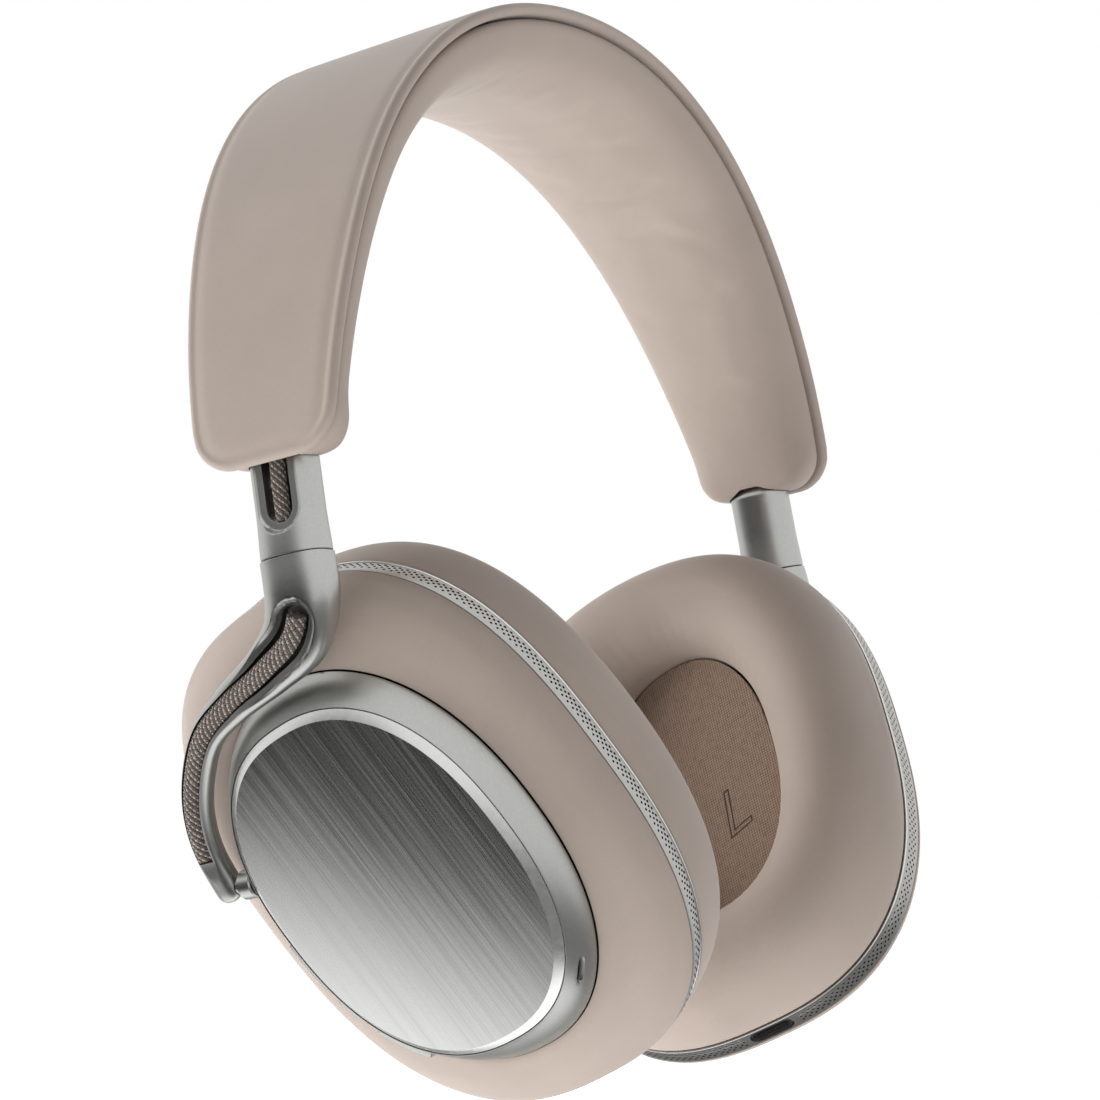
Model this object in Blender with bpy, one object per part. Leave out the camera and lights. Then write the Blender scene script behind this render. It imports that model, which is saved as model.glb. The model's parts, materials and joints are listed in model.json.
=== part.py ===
"""Over-ear headphones: a leather headband, sliding stems, swivelling yokes and tilting cups.

Sizes are in millimetres here, and metres() turns them into Blender's metres.
World frame: the origin is on the underside of the headband pad at the crown, where the head
carries the headphones. +X is the wearer's right, +Y the wearer's front and +Z is up.
Cup frame: x runs outward through the cup, y to its front and z up its long axis.
Stem frame: z runs up the stem, x outward and y to the front. The slide frame has the same
origin, and its z runs up the blade.
The right side is modelled, and the left side is its mirror image in X.
"""

import math

import bmesh
import bpy
from mathutils import Matrix, Vector

MM = 0.001

# Headband
BAND_HALF_LENGTH = 129.5  # along the outer face, from the crown to one end
BAND_TURNS = (1.15, 1.73, 1.83, 0.92, 1.38)  # radians per half length, crown to end
BAND_HALF_WIDTH = 20.7
BAND_TAPER = 7.7  # what the half width loses by the ends
BAND_CORNER = 7.0  # radius of the band's corners at its ends
CROWN_THICKNESS = 12.6  # cover and pad together
END_THICKNESS = 10.6
COVER_THICKNESS = 2.2
PAD_GAP = 0.3
PAD_INSET = 0.7
CHANNEL_SHALLOW = 4.2  # depth of the pad's channel below the band's outer face
CHANNEL_DEEP = 9.0
CHANNEL_END_WIDTH = 4.8  # half width of the channel where only the blade passes
CHANNEL_SLEEVE_WIDTH = 5.75
SPRING_HALF_WIDTH = 4.5
SPRING_THICKNESS = 0.8
SPRING_REACH = 0.68  # share of the half length

# Stems, each with a blade that slides in the headband
STEM_TOP = (78.9, -0.3, -69.0)
STEM_LEAN = math.radians(2.0)
STEM_LENGTH = 14.3
STEM_HALF_DEPTH = 3.9
STEM_HALF_WIDTH = 5.9
STEM_GAP = 1.0
BLADE_LEAN = math.radians(9.0)
BLADE_OFFSET = -0.3
BLADE_HALF_THICKNESS = 1.0
BLADE_HALF_WIDTH = 4.2
BLADE_ROOT = 4.0
BLADE_LENGTH = 23.0
SLEEVE_START = 8.0
SLOT_HALF_WIDTH = 2.5
SLOT_LENGTH = 9.1
SLOT_FLOOR = 0.75
STEM_CABLE_RADIUS = 1.2
STEM_CABLE_TOP = 13.0
SWIVEL_PIN_RADIUS = 1.95
SWIVEL_PIN_REACH = 4.6
RUNNING_CLEARANCE = 0.1

# Cups
CUP_CENTRE = (48.7, -4.0, -129.3)
CUP_TILT = math.radians(25.3)
CUP_YAW = math.radians(-1.7)
CUP_SLANT = math.radians(16.5)
BAFFLE_TILT = math.radians(10.0)
PART_GAP = 0.3

# Yoke arms and their pivots, in the cup frame
ARM_END = (11.0, -31.8, 10.7)
PIVOT_HEIGHT = 12.8
PIVOT_DEPTH = 10.9
PIVOT_BACK = -31.8
CABLE_RADIUS = 1.5
GROOVE_HALF_WIDTH = 1.75
GROOVE_DEPTH = 2.9
GROOVE_SHIFT = 0.5  # from the arm's middle, away from the pod
GROOVE_TOP_SHIFT = -1.0  # the same at the groove's upper end

LEATHER = ((0.42, 0.35, 0.31), 0.55, 0.0)
SATIN_METAL = ((0.62, 0.62, 0.60), 0.35, 1.0)
BRUSHED_METAL = ((0.66, 0.66, 0.65), 0.25, 1.0)
STEEL = ((0.50, 0.50, 0.50), 0.35, 1.0)
CABLE_CLOTH = ((0.14, 0.12, 0.11), 0.85, 0.0)
BAFFLE_CLOTH = ((0.30, 0.22, 0.17), 0.90, 0.0)
PLASTIC = ((0.05, 0.05, 0.05), 0.50, 0.0)
BOARD = ((0.02, 0.12, 0.05), 0.45, 0.0)
CARBON = ((0.08, 0.08, 0.09), 0.35, 0.0)
FOIL = ((0.45, 0.46, 0.48), 0.40, 0.0)


class Oval:
    """A superellipse round the cup's axis: z half height, y half width, power and drop."""

    def __init__(self, height, width, power, drop=0.0):
        self.height = height
        self.width = width
        self.power = power
        self.drop = drop

    def grow(self, by):
        return Oval(self.height + by, self.width + by, self.power, self.drop)

    def mix(self, other, share):
        def between(one, two):
            return one + (two - one) * share

        return Oval(
            between(self.height, other.height),
            between(self.width, other.width),
            between(self.power, other.power),
            between(self.drop, other.drop),
        )

    def points(self, x, count):
        ring = []
        for index in range(count):
            angle = 2 * math.pi * index / count
            y = self.width * signed_power(math.cos(angle), 2 / self.power)
            z = self.height * signed_power(math.sin(angle), 2 / self.power)
            ring.append(Vector((x, y, z - self.drop)))
        return ring

    def rear_point(self, z):
        """The point (y, z) of the rear half at height z, and its outward normal."""
        high = abs((z + self.drop) / self.height)
        y = -self.width * (1 - high**self.power) ** (1 / self.power)
        steep_y = -abs(y / self.width) ** (self.power - 1) / self.width
        steep_z = math.copysign(high ** (self.power - 1), z + self.drop) / self.height
        return Vector((0, y, z)), Vector((0, steep_y, steep_z)).normalized()


RIM = Oval(48.0, 38.5, 2.57)
POD = Oval(36.1, 28.45, 2.19, 0.5)
PLATE = Oval(31.45, 25.9, 2.32, 0.5)
EAR = Oval(28.3, 19.2, 2.3)

RIM_DEPTH = -4.24
POD_FOOT = 8.3
POD_TOP = 13.5
PLATE_TOP = 14.6
CUSHION_CREST = -22.8
CLOTH_DEPTH = -9.6
DRIVER_DEPTH = -5.6
DRIVER_RADIUS = 18.0

RIM_SEGMENTS = 36
INNER_SEGMENTS = 28
ROUND_SEGMENTS = 20


def signed_power(value, power):
    return math.copysign(abs(value) ** power, value)


def smooth_step(low, high, value):
    share = min(max((value - low) / (high - low), 0.0), 1.0)
    return share * share * (3 - 2 * share)


def metres(matrix):
    scaled = matrix.copy()
    scaled.translation = matrix.translation * MM
    return scaled


# Frames


def stem_frame():
    return Matrix.Translation(STEM_TOP) @ Matrix.Rotation(-STEM_LEAN, 4, "Y")


def slide_frame():
    return Matrix.Translation(STEM_TOP) @ Matrix.Rotation(-BLADE_LEAN, 4, "Y")


def swivel_frame():
    return stem_frame() @ Matrix.Translation((0, 0, -STEM_LENGTH))


def cup_frame():
    turn = (
        Matrix.Rotation(CUP_YAW, 4, "Z")
        @ Matrix.Rotation(CUP_TILT, 4, "Y")
        @ Matrix.Rotation(CUP_SLANT, 4, "X")
    )
    return Matrix.Translation(CUP_CENTRE) @ turn


def pivot_axis():
    """The tilt axis in the cup frame: level, towards the wearer's front."""
    return Matrix.Rotation(-CUP_SLANT, 3, "X") @ Vector((0, 1, 0))


def pivot_point():
    return Vector((PIVOT_DEPTH, PIVOT_BACK, PIVOT_HEIGHT))


def tilt_frame():
    return cup_frame() @ Matrix.Translation(pivot_point())


def slanted_frame(depth):
    """The frame of the driver or of the cloth over it, in the cup frame."""
    return Matrix.Translation((depth, 0, 0)) @ Matrix.Rotation(BAFFLE_TILT, 4, "Z")


# Mesh building


def loft(rings, closed=False):
    """A solid through rings of points. It has flat ends, or joins up when closed."""
    bm = bmesh.new()
    rows = [[bm.verts.new(point) for point in ring] for ring in rings]
    pairs = list(zip(rows, rows[1:]))
    if closed:
        pairs.append((rows[-1], rows[0]))
    for lower, upper in pairs:
        for index in range(len(lower)):
            after = (index + 1) % len(lower)
            bm.faces.new((lower[index], lower[after], upper[after], upper[index]))
    if not closed:
        bm.faces.new(rows[0])
        bm.faces.new(rows[-1])
    bmesh.ops.recalc_face_normals(bm, faces=bm.faces)
    return bm


def oval_ring(profile, count):
    """A ring round the cup's axis from a closed profile of (oval, x)."""
    return loft([oval.points(x, count) for oval, x in profile], closed=True)


def oval_solid(profile, count):
    """A solid across the cup's axis from an open profile of (oval, x)."""
    return loft([oval.points(x, count) for oval, x in profile])


def moved(bm, matrix):
    bmesh.ops.transform(bm, matrix=matrix, verts=bm.verts)
    return bm


def rod(radius, start, end, count=16):
    """A round rod from start to end."""
    start = Vector(start)
    along = Vector(end) - start
    turn = along.to_track_quat("Z", "Y")
    rings = []
    for place in (start, start + along):
        ring = []
        for index in range(count):
            angle = 2 * math.pi * index / count
            spoke = Vector((math.cos(angle), math.sin(angle), 0)) * radius
            ring.append(place + turn @ spoke)
        rings.append(ring)
    return loft(rings)


def tube(path, radius, count):
    """A round bar along a path that bends in the plane y = 0."""
    path = [Vector(point) for point in path]
    rings = []
    for index, place in enumerate(path):
        before = path[max(index - 1, 0)]
        after = path[min(index + 1, len(path) - 1)]
        along = (after - before).normalized()
        side = Vector((0, 1, 0))
        out = side.cross(along)
        ring = []
        for turn in range(count):
            angle = 2 * math.pi * turn / count
            ring.append(place + (side * math.cos(angle) + out * math.sin(angle)) * radius)
        rings.append(ring)
    return loft(rings)


def temporary_object(bm):
    mesh = bpy.data.meshes.new("temporary")
    bm.to_mesh(mesh)
    obj = bpy.data.objects.new("temporary", mesh)
    bpy.context.scene.collection.objects.link(obj)
    return obj


def combine(bm, others, operation):
    """The body bm after a Boolean with each of the others."""
    body = temporary_object(bm)
    helpers = [temporary_object(other) for other in others]
    for helper in helpers:
        modifier = body.modifiers.new("combine", "BOOLEAN")
        modifier.operation = operation
        modifier.object = helper
    graph = bpy.context.evaluated_depsgraph_get()
    result = bmesh.new()
    result.from_mesh(body.evaluated_get(graph).to_mesh())
    for obj in (body, *helpers):
        mesh = obj.data
        bpy.data.objects.remove(obj)
        bpy.data.meshes.remove(mesh)
    return result


def carve(bm, *cutters):
    return combine(bm, cutters, "DIFFERENCE")


def join(bm, *others):
    return combine(bm, others, "UNION")


def make_material(name, finish):
    colour, roughness, metallic = finish
    material = bpy.data.materials.new(name)
    material.use_nodes = True
    shader = material.node_tree.nodes["Principled BSDF"]
    shader.inputs["Base Color"].default_value = (*colour, 1.0)
    shader.inputs["Roughness"].default_value = roughness
    shader.inputs["Metallic"].default_value = metallic
    return material


class Joint:
    """An empty on a joint's axis that the moving pieces hang from."""

    def __init__(self, name, matrix, parent=None):
        self.matrix = metres(matrix)
        self.empty = bpy.data.objects.new(name, None)
        bpy.context.scene.collection.objects.link(self.empty)
        self.empty.parent = parent.empty if parent else None
        base = parent.matrix.inverted() if parent else Matrix.Identity(4)
        self.empty.matrix_basis = base @ self.matrix


def place(name, bm, frame, joint, finish):
    """Makes the named object from a mesh in millimetres in the frame."""
    mesh = bpy.data.meshes.new(name)
    bmesh.ops.scale(bm, vec=(MM, MM, MM), verts=bm.verts)
    bm.to_mesh(mesh)
    bm.free()
    mesh.shade_smooth()
    mesh.set_sharp_from_angle(angle=math.radians(35))
    obj = bpy.data.objects.new(name, mesh)
    bpy.context.scene.collection.objects.link(obj)
    obj.data.materials.append(make_material(name, finish))
    if joint:
        obj.parent = joint.empty
        obj.matrix_basis = joint.matrix.inverted() @ metres(frame)
    else:
        obj.matrix_basis = metres(frame)
    return obj


class Side:
    """One side of the headphones: it places right-hand meshes as they are, or mirrored."""

    def __init__(self, letter, sign):
        self.letter = letter
        self.sign = sign
        self.stem = Joint(self.named("slide_axis"), self.turned(slide_frame()))
        self.yoke = Joint(self.named("swivel_axis"), self.turned(swivel_frame()), self.stem)
        self.cup = Joint(self.named("tilt_axis"), self.turned(tilt_frame()), self.yoke)

    def named(self, name):
        return f"{name}_{self.letter}"

    def turned(self, matrix):
        mirror = Matrix.Diagonal((self.sign, 1, 1, 1))
        return mirror @ matrix @ mirror

    def place(self, name, bm, frame, joint, finish):
        if self.sign < 0:
            bmesh.ops.scale(bm, vec=(-1, 1, 1), verts=bm.verts)
            bmesh.ops.reverse_faces(bm, faces=bm.faces)
        place(self.named(name), bm, self.turned(frame), joint, finish)

    def place_in_cup(self, name, bm, finish, centre=None):
        """Places a cup part. A button gets a centre of its own, on its line of travel."""
        frame = cup_frame()
        if centre is not None:
            moved(bm, Matrix.Translation(-centre))
            frame = frame @ Matrix.Translation(centre)
        self.place(name, bm, frame, self.cup, finish)


# Headband


def arch_table():
    """Points (x, z, angle) down the right half of the band's outer face."""
    steps = 400
    step = BAND_HALF_LENGTH / steps
    x = 0.0
    z = CROWN_THICKNESS
    angle = 0.0
    table = [(x, z, angle)]
    spans = len(BAND_TURNS) - 1
    for index in range(steps):
        share = (index + 0.5) / steps * spans
        knot = min(int(share), spans - 1)
        blend = share - knot
        turn = BAND_TURNS[knot] * (1 - blend) + BAND_TURNS[knot + 1] * blend
        half_turn = turn / steps / 2
        angle += half_turn
        x += math.cos(angle) * step
        z -= math.sin(angle) * step
        angle += half_turn
        table.append((x, z, angle))
    return table


ARCH = arch_table()


def band_point(share, y, depth):
    """A point of the band: share of the half length, y, and depth below the outer face."""
    place_in_table = abs(share) * (len(ARCH) - 1)
    index = min(int(place_in_table), len(ARCH) - 2)
    blend = place_in_table - index
    x, z, angle = (a + (b - a) * blend for a, b in zip(ARCH[index], ARCH[index + 1]))
    x -= depth * math.sin(angle)
    z -= depth * math.cos(angle)
    return Vector((math.copysign(x, share), y, z))


def band_half_width(share):
    width = BAND_HALF_WIDTH - BAND_TAPER * share * share
    left = (1 - abs(share)) * BAND_HALF_LENGTH
    if left < BAND_CORNER:
        width -= BAND_CORNER - math.sqrt(BAND_CORNER**2 - (BAND_CORNER - left) ** 2)
    return width


def band_thickness(share):
    return CROWN_THICKNESS + (END_THICKNESS - CROWN_THICKNESS) * share * share


def band_shares(reach=1.0, steps=12):
    """Stations along the band, closer together round the corners of its ends."""
    inner = reach - BAND_CORNER / BAND_HALF_LENGTH
    half = [inner * index / steps for index in range(steps + 1)]
    if reach == 1.0:
        for turn in (0.35, 0.65, 0.87, 1.0):
            half.append(inner + (reach - inner) * math.sin(turn * math.pi / 2))
    return [-share for share in reversed(half[1:])] + half


def mirrored_section(half):
    """A closed section from the (y, depth) points of its +y half, crown point first."""
    return half + [(-y, depth) for y, depth in reversed(half) if abs(y) > 1e-6]


def headband_cover():
    rings = []
    for share in band_shares():
        w = band_half_width(share)
        half = [(0, 0), (w * 0.6, 0), (w - 1.2, 0.1), (w - 0.3, 0.5), (w, 1.4)]
        half += [(w - 0.6, COVER_THICKNESS), (0, COVER_THICKNESS)]
        section = mirrored_section(half)
        rings.append([band_point(share, y, depth) for y, depth in section])
    return loft(rings)


def headband_pad():
    top = COVER_THICKNESS + PAD_GAP
    rings = []
    for share in band_shares():
        left = (1 - abs(share)) * BAND_HALF_LENGTH
        w = band_half_width(share) - PAD_INSET
        deep = smooth_step(40, 33, left)
        floor = CHANNEL_SHALLOW + (CHANNEL_DEEP - CHANNEL_SHALLOW) * deep
        wide = smooth_step(3.0, 6.0, left)
        channel = CHANNEL_END_WIDTH + (CHANNEL_SLEEVE_WIDTH - CHANNEL_END_WIDTH) * wide
        base = band_thickness(share)
        pillow = smooth_step(-4.0, 9.0, left)
        half = [(channel, floor), (channel, top), (w, top)]
        half.append((w, top + 1.0 + 1.0 * pillow))
        half.append((w - 0.6 - 0.8 * pillow, base - 2.6 - 2.0 * pillow))
        half.append((w - 1.6 - 3.0 * pillow, base - 1.0 - 0.7 * pillow))
        half += [(w * 0.4, base - 0.35), (0, base)]
        section = mirrored_section(half)
        rings.append([band_point(share, y, depth) for y, depth in section])
    return loft(rings)


def spring_band():
    low = COVER_THICKNESS + PAD_GAP + 0.2
    rings = []
    for share in band_shares(SPRING_REACH, 10):
        ring = []
        for y, depth in (
            (-SPRING_HALF_WIDTH, low),
            (SPRING_HALF_WIDTH, low),
            (SPRING_HALF_WIDTH, low + SPRING_THICKNESS),
            (-SPRING_HALF_WIDTH, low + SPRING_THICKNESS),
        ):
            ring.append(band_point(share, y, depth))
        rings.append(ring)
    return loft(rings)


def slider_sleeve():
    """A channel section on the pad's side of the blade, in the slide frame."""
    gap = 0.2
    base = 0.7
    wall = 0.7
    inner = BLADE_HALF_WIDTH + gap
    outer = inner + wall
    face = BLADE_OFFSET - BLADE_HALF_THICKNESS - gap
    top = BLADE_OFFSET + BLADE_HALF_THICKNESS
    section = [
        (face - base, -outer),
        (face - base, outer),
        (top, outer),
        (top, inner),
        (face, inner),
        (face, -inner),
        (top, -inner),
        (top, -outer),
    ]
    ends = (SLEEVE_START, BLADE_LENGTH + 1.0)
    return loft([[Vector((x, y, z)) for x, y in section] for z in ends])


# Stem and swivel


def stem_ring(x, half_depth, half_width, z, power=2.4, count=20):
    ring = []
    for index in range(count):
        angle = 2 * math.pi * index / count
        across = half_depth * signed_power(math.cos(angle), 2 / power)
        y = half_width * signed_power(math.sin(angle), 2 / power)
        ring.append(Vector((x + across, y, z)))
    return ring


def slot_cutter(half_width, floor, top, bottom, roof=8.0):
    """A U-shaped block that cuts the cable's slot into the stem's outer face."""
    outline = [(-half_width, top)]
    for index in range(9):
        angle = math.pi * (1 + index / 8)
        y = half_width * math.cos(angle)
        z = bottom + half_width + half_width * math.sin(angle)
        outline.append((y, z))
    outline.append((half_width, top))
    return loft([[Vector((x, y, z)) for y, z in outline] for x in (floor, roof)])


def slide_to_stem():
    """Takes points of the slide frame into the stem frame."""
    return stem_frame().inverted() @ slide_frame()


def blade():
    rings = []
    for z in (-BLADE_ROOT, BLADE_LENGTH):
        corners = stem_ring(BLADE_OFFSET, BLADE_HALF_THICKNESS, BLADE_HALF_WIDTH, z, 6, 12)
        rings.append(corners)
    return moved(loft(rings), slide_to_stem())


def stem():
    seam = -STEM_LENGTH + PART_GAP / 2
    flare = 0.2
    rings = [
        stem_ring(0, STEM_HALF_DEPTH + flare, STEM_HALF_WIDTH + flare, seam),
        stem_ring(0, STEM_HALF_DEPTH, STEM_HALF_WIDTH, -STEM_LENGTH / 2),
        stem_ring(0, STEM_HALF_DEPTH, STEM_HALF_WIDTH, -STEM_GAP),
    ]
    slot = slot_cutter(SLOT_HALF_WIDTH, SLOT_FLOOR, 1.0, -SLOT_LENGTH)
    bore = rod(
        SWIVEL_PIN_RADIUS + RUNNING_CLEARANCE,
        (0, 0, -STEM_LENGTH - 1),
        (0, 0, -STEM_LENGTH + SWIVEL_PIN_REACH),
    )
    return carve(join(loft(rings), blade()), slot, bore)


def stem_cable():
    """It lies in the stem's slot and then bends to follow the blade into the headband."""
    lift = 0.15
    radius = STEM_CABLE_RADIUS
    x = BLADE_OFFSET + BLADE_HALF_THICKNESS + lift + radius
    in_slot = SLOT_FLOOR + lift + radius
    bend = slide_to_stem()
    path = [Vector((in_slot, 0, 0.6 - SLOT_LENGTH)), Vector((in_slot, 0, -2.5))]
    path += [bend @ Vector((x, 0, 1.5)), bend @ Vector((x, 0, STEM_CABLE_TOP))]
    return tube(path, radius, 10)


def swivel_pin():
    """The pin stands in the stem's bore and turns in the yoke's bore."""
    reach = SWIVEL_PIN_REACH - 0.4
    return rod(SWIVEL_PIN_RADIUS, (0, 0, -STEM_LENGTH - reach), (0, 0, -STEM_LENGTH + reach))


# Yoke arm


def arm_stations():
    """Centre, outward direction, half width and half thickness down the arm.

    The first two stations lie on the swivel axis. The rest are in the cup frame: the arm
    passes over the cup's top edge, turns to the rear and follows the pod to the pivot.
    """
    to_cup = cup_frame().inverted() @ swivel_frame()
    outward = (to_cup.to_3x3() @ Vector((1, 0, 0))).normalized()
    lean_out = (outward + Vector((1.5, 0, 0))).normalized()
    straight = Vector((1, 0, 0))
    return [
        (to_cup @ Vector((0, 0, -PART_GAP / 2)), outward, 6.1, 4.1),
        (to_cup @ Vector((0, 0, -6.5)), outward, 6.2, 4.0),
        (Vector((12.3, 13.8, 41.3)), lean_out, 5.6, 3.5),
        (Vector((12.6, 5.6, 39.3)), straight, 4.3, 2.7),
        (Vector((12.3, -4.6, 38.1)), straight, 3.4, 2.3),
        (Vector((12.0, -13.4, 36.1)), straight, 2.8, 2.1),
        (Vector((11.5, -20.9, 31.6)), straight, 2.7, 2.0),
        (Vector((11.2, -26.7, 25.9)), straight, 2.6, 2.0),
        (Vector((11.0, -30.3, 19.2)), straight, 2.5, 2.0),
        (Vector(ARM_END), straight, 2.4, 2.0),
    ]


def catmull(values, position):
    """A smooth value at a position counted in stations."""
    index = min(int(position), len(values) - 2)
    t = position - index
    before = values[max(index - 1, 0)]
    start = values[index]
    end = values[index + 1]
    after = values[min(index + 2, len(values) - 1)]
    bend = (2 * before - 5 * start + 4 * end - after) * t * t
    swing = (3 * start - before - 3 * end + after) * t * t * t
    return 0.5 * (2 * start + (end - before) * t + bend + swing)


STATIONS = arm_stations()


def arm_at(position):
    """Centre, side and outward directions, half width and half thickness of the arm."""
    centres, outwards, widths, thicknesses = zip(*STATIONS)
    centre = catmull(centres, position)
    near = 0.02
    last = len(STATIONS) - 1
    ahead = catmull(centres, min(position + near, last))
    behind = catmull(centres, max(position - near, 0))
    tangent = (ahead - behind).normalized()
    outward = catmull(outwards, position)
    outward = (outward - tangent * outward.dot(tangent)).normalized()
    side = tangent.cross(outward)
    return centre, side, outward, catmull(widths, position), catmull(thicknesses, position)


def positions(start, end, steps):
    return [start + (end - start) * index / steps for index in range(steps + 1)]


ARM_POWER = 2.8


def yoke_arm():
    count = 14
    last = len(STATIONS) - 1
    rings = []
    spans = [(p, 1.0) for p in positions(0, last - 0.3, 18)]
    spans += [(last - 0.18, 0.92), (last - 0.07, 0.75), (last, 0.45)]
    for position, shrink in spans:
        centre, side, outward, width, thick = arm_at(position)
        thick *= 0.5 + 0.5 * shrink
        ring = []
        for index in range(count):
            angle = 2 * math.pi * index / count
            across = width * shrink * signed_power(math.cos(angle), 2 / ARM_POWER)
            up = thick * signed_power(math.sin(angle), 2 / ARM_POWER)
            ring.append(centre + side * across + outward * up)
        rings.append(ring)
    to_cup = cup_frame().inverted() @ swivel_frame()
    bore = rod(
        SWIVEL_PIN_RADIUS + RUNNING_CLEARANCE,
        to_cup @ Vector((0, 0, 1)),
        to_cup @ Vector((0, 0, -SWIVEL_PIN_REACH)),
    )
    pin_bore = rod(PIVOT_PIN_RADIUS + RUNNING_CLEARANCE, pivot_at(1.0), pivot_at(6.0))
    return carve(loft(rings), cable_groove(), bore, pin_bore)


GROOVE_START = 1.12  # in stations
GROOVE_END = 8.1
GROOVE_ROUND = 0.8


def groove_shift(position):
    lower = smooth_step(GROOVE_START, 3.0, position)
    return GROOVE_TOP_SHIFT + (GROOVE_SHIFT - GROOVE_TOP_SHIFT) * lower


def cable_groove():
    rings = []
    spans = [(GROOVE_START, 0.4), (GROOVE_START + 0.06, 0.8), (GROOVE_START + 0.2, 1.0)]
    spans += [(p, 1.0) for p in positions(GROOVE_START + 0.5, GROOVE_END, 14)]
    for position, share in spans:
        centre, side, outward, _, thick = arm_at(position)
        middle = centre + side * groove_shift(position)
        half = GROOVE_HALF_WIDTH * share
        low = thick - GROOVE_DEPTH
        high = thick + 3.0
        corners = [(-half, high), (-half, low + GROOVE_ROUND), (-half * 0.6, low)]
        corners += [(half * 0.6, low), (half, low + GROOVE_ROUND), (half, high)]
        rings.append([middle + side * a + outward * b for a, b in corners])
    return loft(rings)


def yoke_cable():
    lift = 0.2
    count = 8
    rings = []
    for position in positions(GROOVE_START + 0.3, GROOVE_END - 0.06, 16):
        centre, side, outward, _, thick = arm_at(position)
        height = thick - GROOVE_DEPTH + lift + CABLE_RADIUS
        middle = centre + side * groove_shift(position) + outward * height
        ring = []
        for index in range(count):
            angle = 2 * math.pi * index / count
            spoke = side * math.cos(angle) + outward * math.sin(angle)
            ring.append(middle + spoke * CABLE_RADIUS)
        rings.append(ring)
    return loft(rings)


def pivot_at(distance):
    """A point on the tilt axis, at a distance forward of the arm's centre."""
    return pivot_point() + pivot_axis() * distance


PIVOT_PIN_RADIUS = 1.5
BOSS_RADIUS = 2.5
BOSS_START = 3.4
BOSS_END = 6.2
PIVOT_PIN_END = 8.8


def pivot_pin():
    """A stepped pin: it stands in the arm, and its boss and shaft turn in the pod."""
    pin = rod(PIVOT_PIN_RADIUS, pivot_at(1.3), pivot_at(PIVOT_PIN_END))
    return join(pin, rod(BOSS_RADIUS, pivot_at(BOSS_START), pivot_at(BOSS_END)))


# Cup


def perforated_ring(with_port):
    inner = RIM.grow(-1.4)
    profile = [
        (RIM.grow(-0.45), RIM_DEPTH),
        (RIM.grow(-0.05), -2.8),
        (RIM, 0.0),
        (inner, 0.0),
        (inner.grow(-0.2), RIM_DEPTH),
    ]
    bm = oval_ring(profile, RIM_SEGMENTS)
    return carve(bm, port_pill(0.15, -52, -43)) if with_port else bm


def cup_shell():
    foot = POD.grow(0.45)
    steps = [(0.0, 0.3), (0.08, 2.2), (0.24, 4.4), (0.5, 6.3), (0.78, 7.5), (1.0, 8.0)]
    outer = [(RIM.mix(foot, share), x) for share, x in steps]
    hem = [(foot, 6.5), (RIM.mix(foot, 0.55).grow(-1.2), 4.4)]
    inner = [(RIM.mix(foot, 0.22).grow(-1.3), 2.4), (RIM.grow(-1.6), 0.3)]
    return oval_ring(outer + hem + inner, RIM_SEGMENTS)


def cup_housing(with_port):
    """The moulded tub that closes the back of the cup, under the shell."""
    foot = POD.grow(-1.5)
    profile = [
        (foot, 5.5),
        (RIM.mix(POD, 0.6).grow(-3.0), 4.0),
        (RIM.mix(POD, 0.2).grow(-3.2), 1.4),
        (RIM.grow(-2.3), -0.4),
        (RIM.grow(-2.3), -4.1),
        (RIM.grow(-3.4), -4.1),
        (RIM.grow(-3.4), -0.8),
        (RIM.mix(POD, 0.25).grow(-4.4), 0.6),
        (RIM.mix(POD, 0.6).grow(-4.0), 2.7),
        (foot.grow(-0.4), 4.3),
    ]
    bm = oval_solid(profile, INNER_SEGMENTS)
    return carve(bm, port_pill(0.15, -52, -43)) if with_port else bm


def rim_block(low, high, inner, outer, x_low, x_high):
    """A curved block let into the pod's rear wall between two heights."""
    foot_share = (x_low + x_high) / 2 - POD_FOOT
    wall = POD.mix(PLATE.grow(0.9), foot_share / (POD_TOP - 0.5 - POD_FOOT))
    lean = (POD.width - PLATE.width - 0.9) / (POD_TOP - 0.5 - POD_FOOT)
    rings = []
    for z in positions(low, high, 5):
        point, normal = wall.rear_point(z)
        ring = []
        for x, offset in ((x_low, inner), (x_low, outer), (x_high, outer), (x_high, inner)):
            back = lean * (x - (x_low + x_high) / 2) if offset == outer else 0.0
            ring.append(point + normal * (offset - back) + Vector((x, 0, 0)))
        rings.append(ring)
    return loft(rings)


BUTTON_LOW = 10.0
BUTTON_HIGH = 12.2
BUTTON_PROUD = 0.8
BUTTON_DEPTH = 2.4
BUTTON_TRAVEL = 0.6
BUTTON_GAP = 0.3
RIGHT_BUTTONS = {
    "volume_up_button": (-10.1, -0.5),
    "play_button": (-16.9, -12.7),
    "volume_down_button": (-28.2, -20.3),
}
LEFT_BUTTONS = {"mode_button": (-10.1, -0.5), "power_button": (-16.9, -12.7)}


def button(span):
    low, high = span
    return rim_block(low, high, -BUTTON_DEPTH, BUTTON_PROUD, BUTTON_LOW, BUTTON_HIGH)


def button_pocket(span):
    low, high = span
    depth = BUTTON_DEPTH + BUTTON_TRAVEL + BUTTON_GAP
    return rim_block(
        low - BUTTON_GAP,
        high + BUTTON_GAP,
        -depth,
        3.0,
        BUTTON_LOW - BUTTON_GAP,
        BUTTON_HIGH + BUTTON_GAP,
    )


def button_centre(span):
    point, _ = POD.rear_point(sum(span) / 2)
    return point + Vector(((BUTTON_LOW + BUTTON_HIGH) / 2, 0, 0))


MIC_LOW = Vector((11.2, 15.8, -28.9))
MIC_HIGH = Vector((11.2, 19.2, -25.4))


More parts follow.
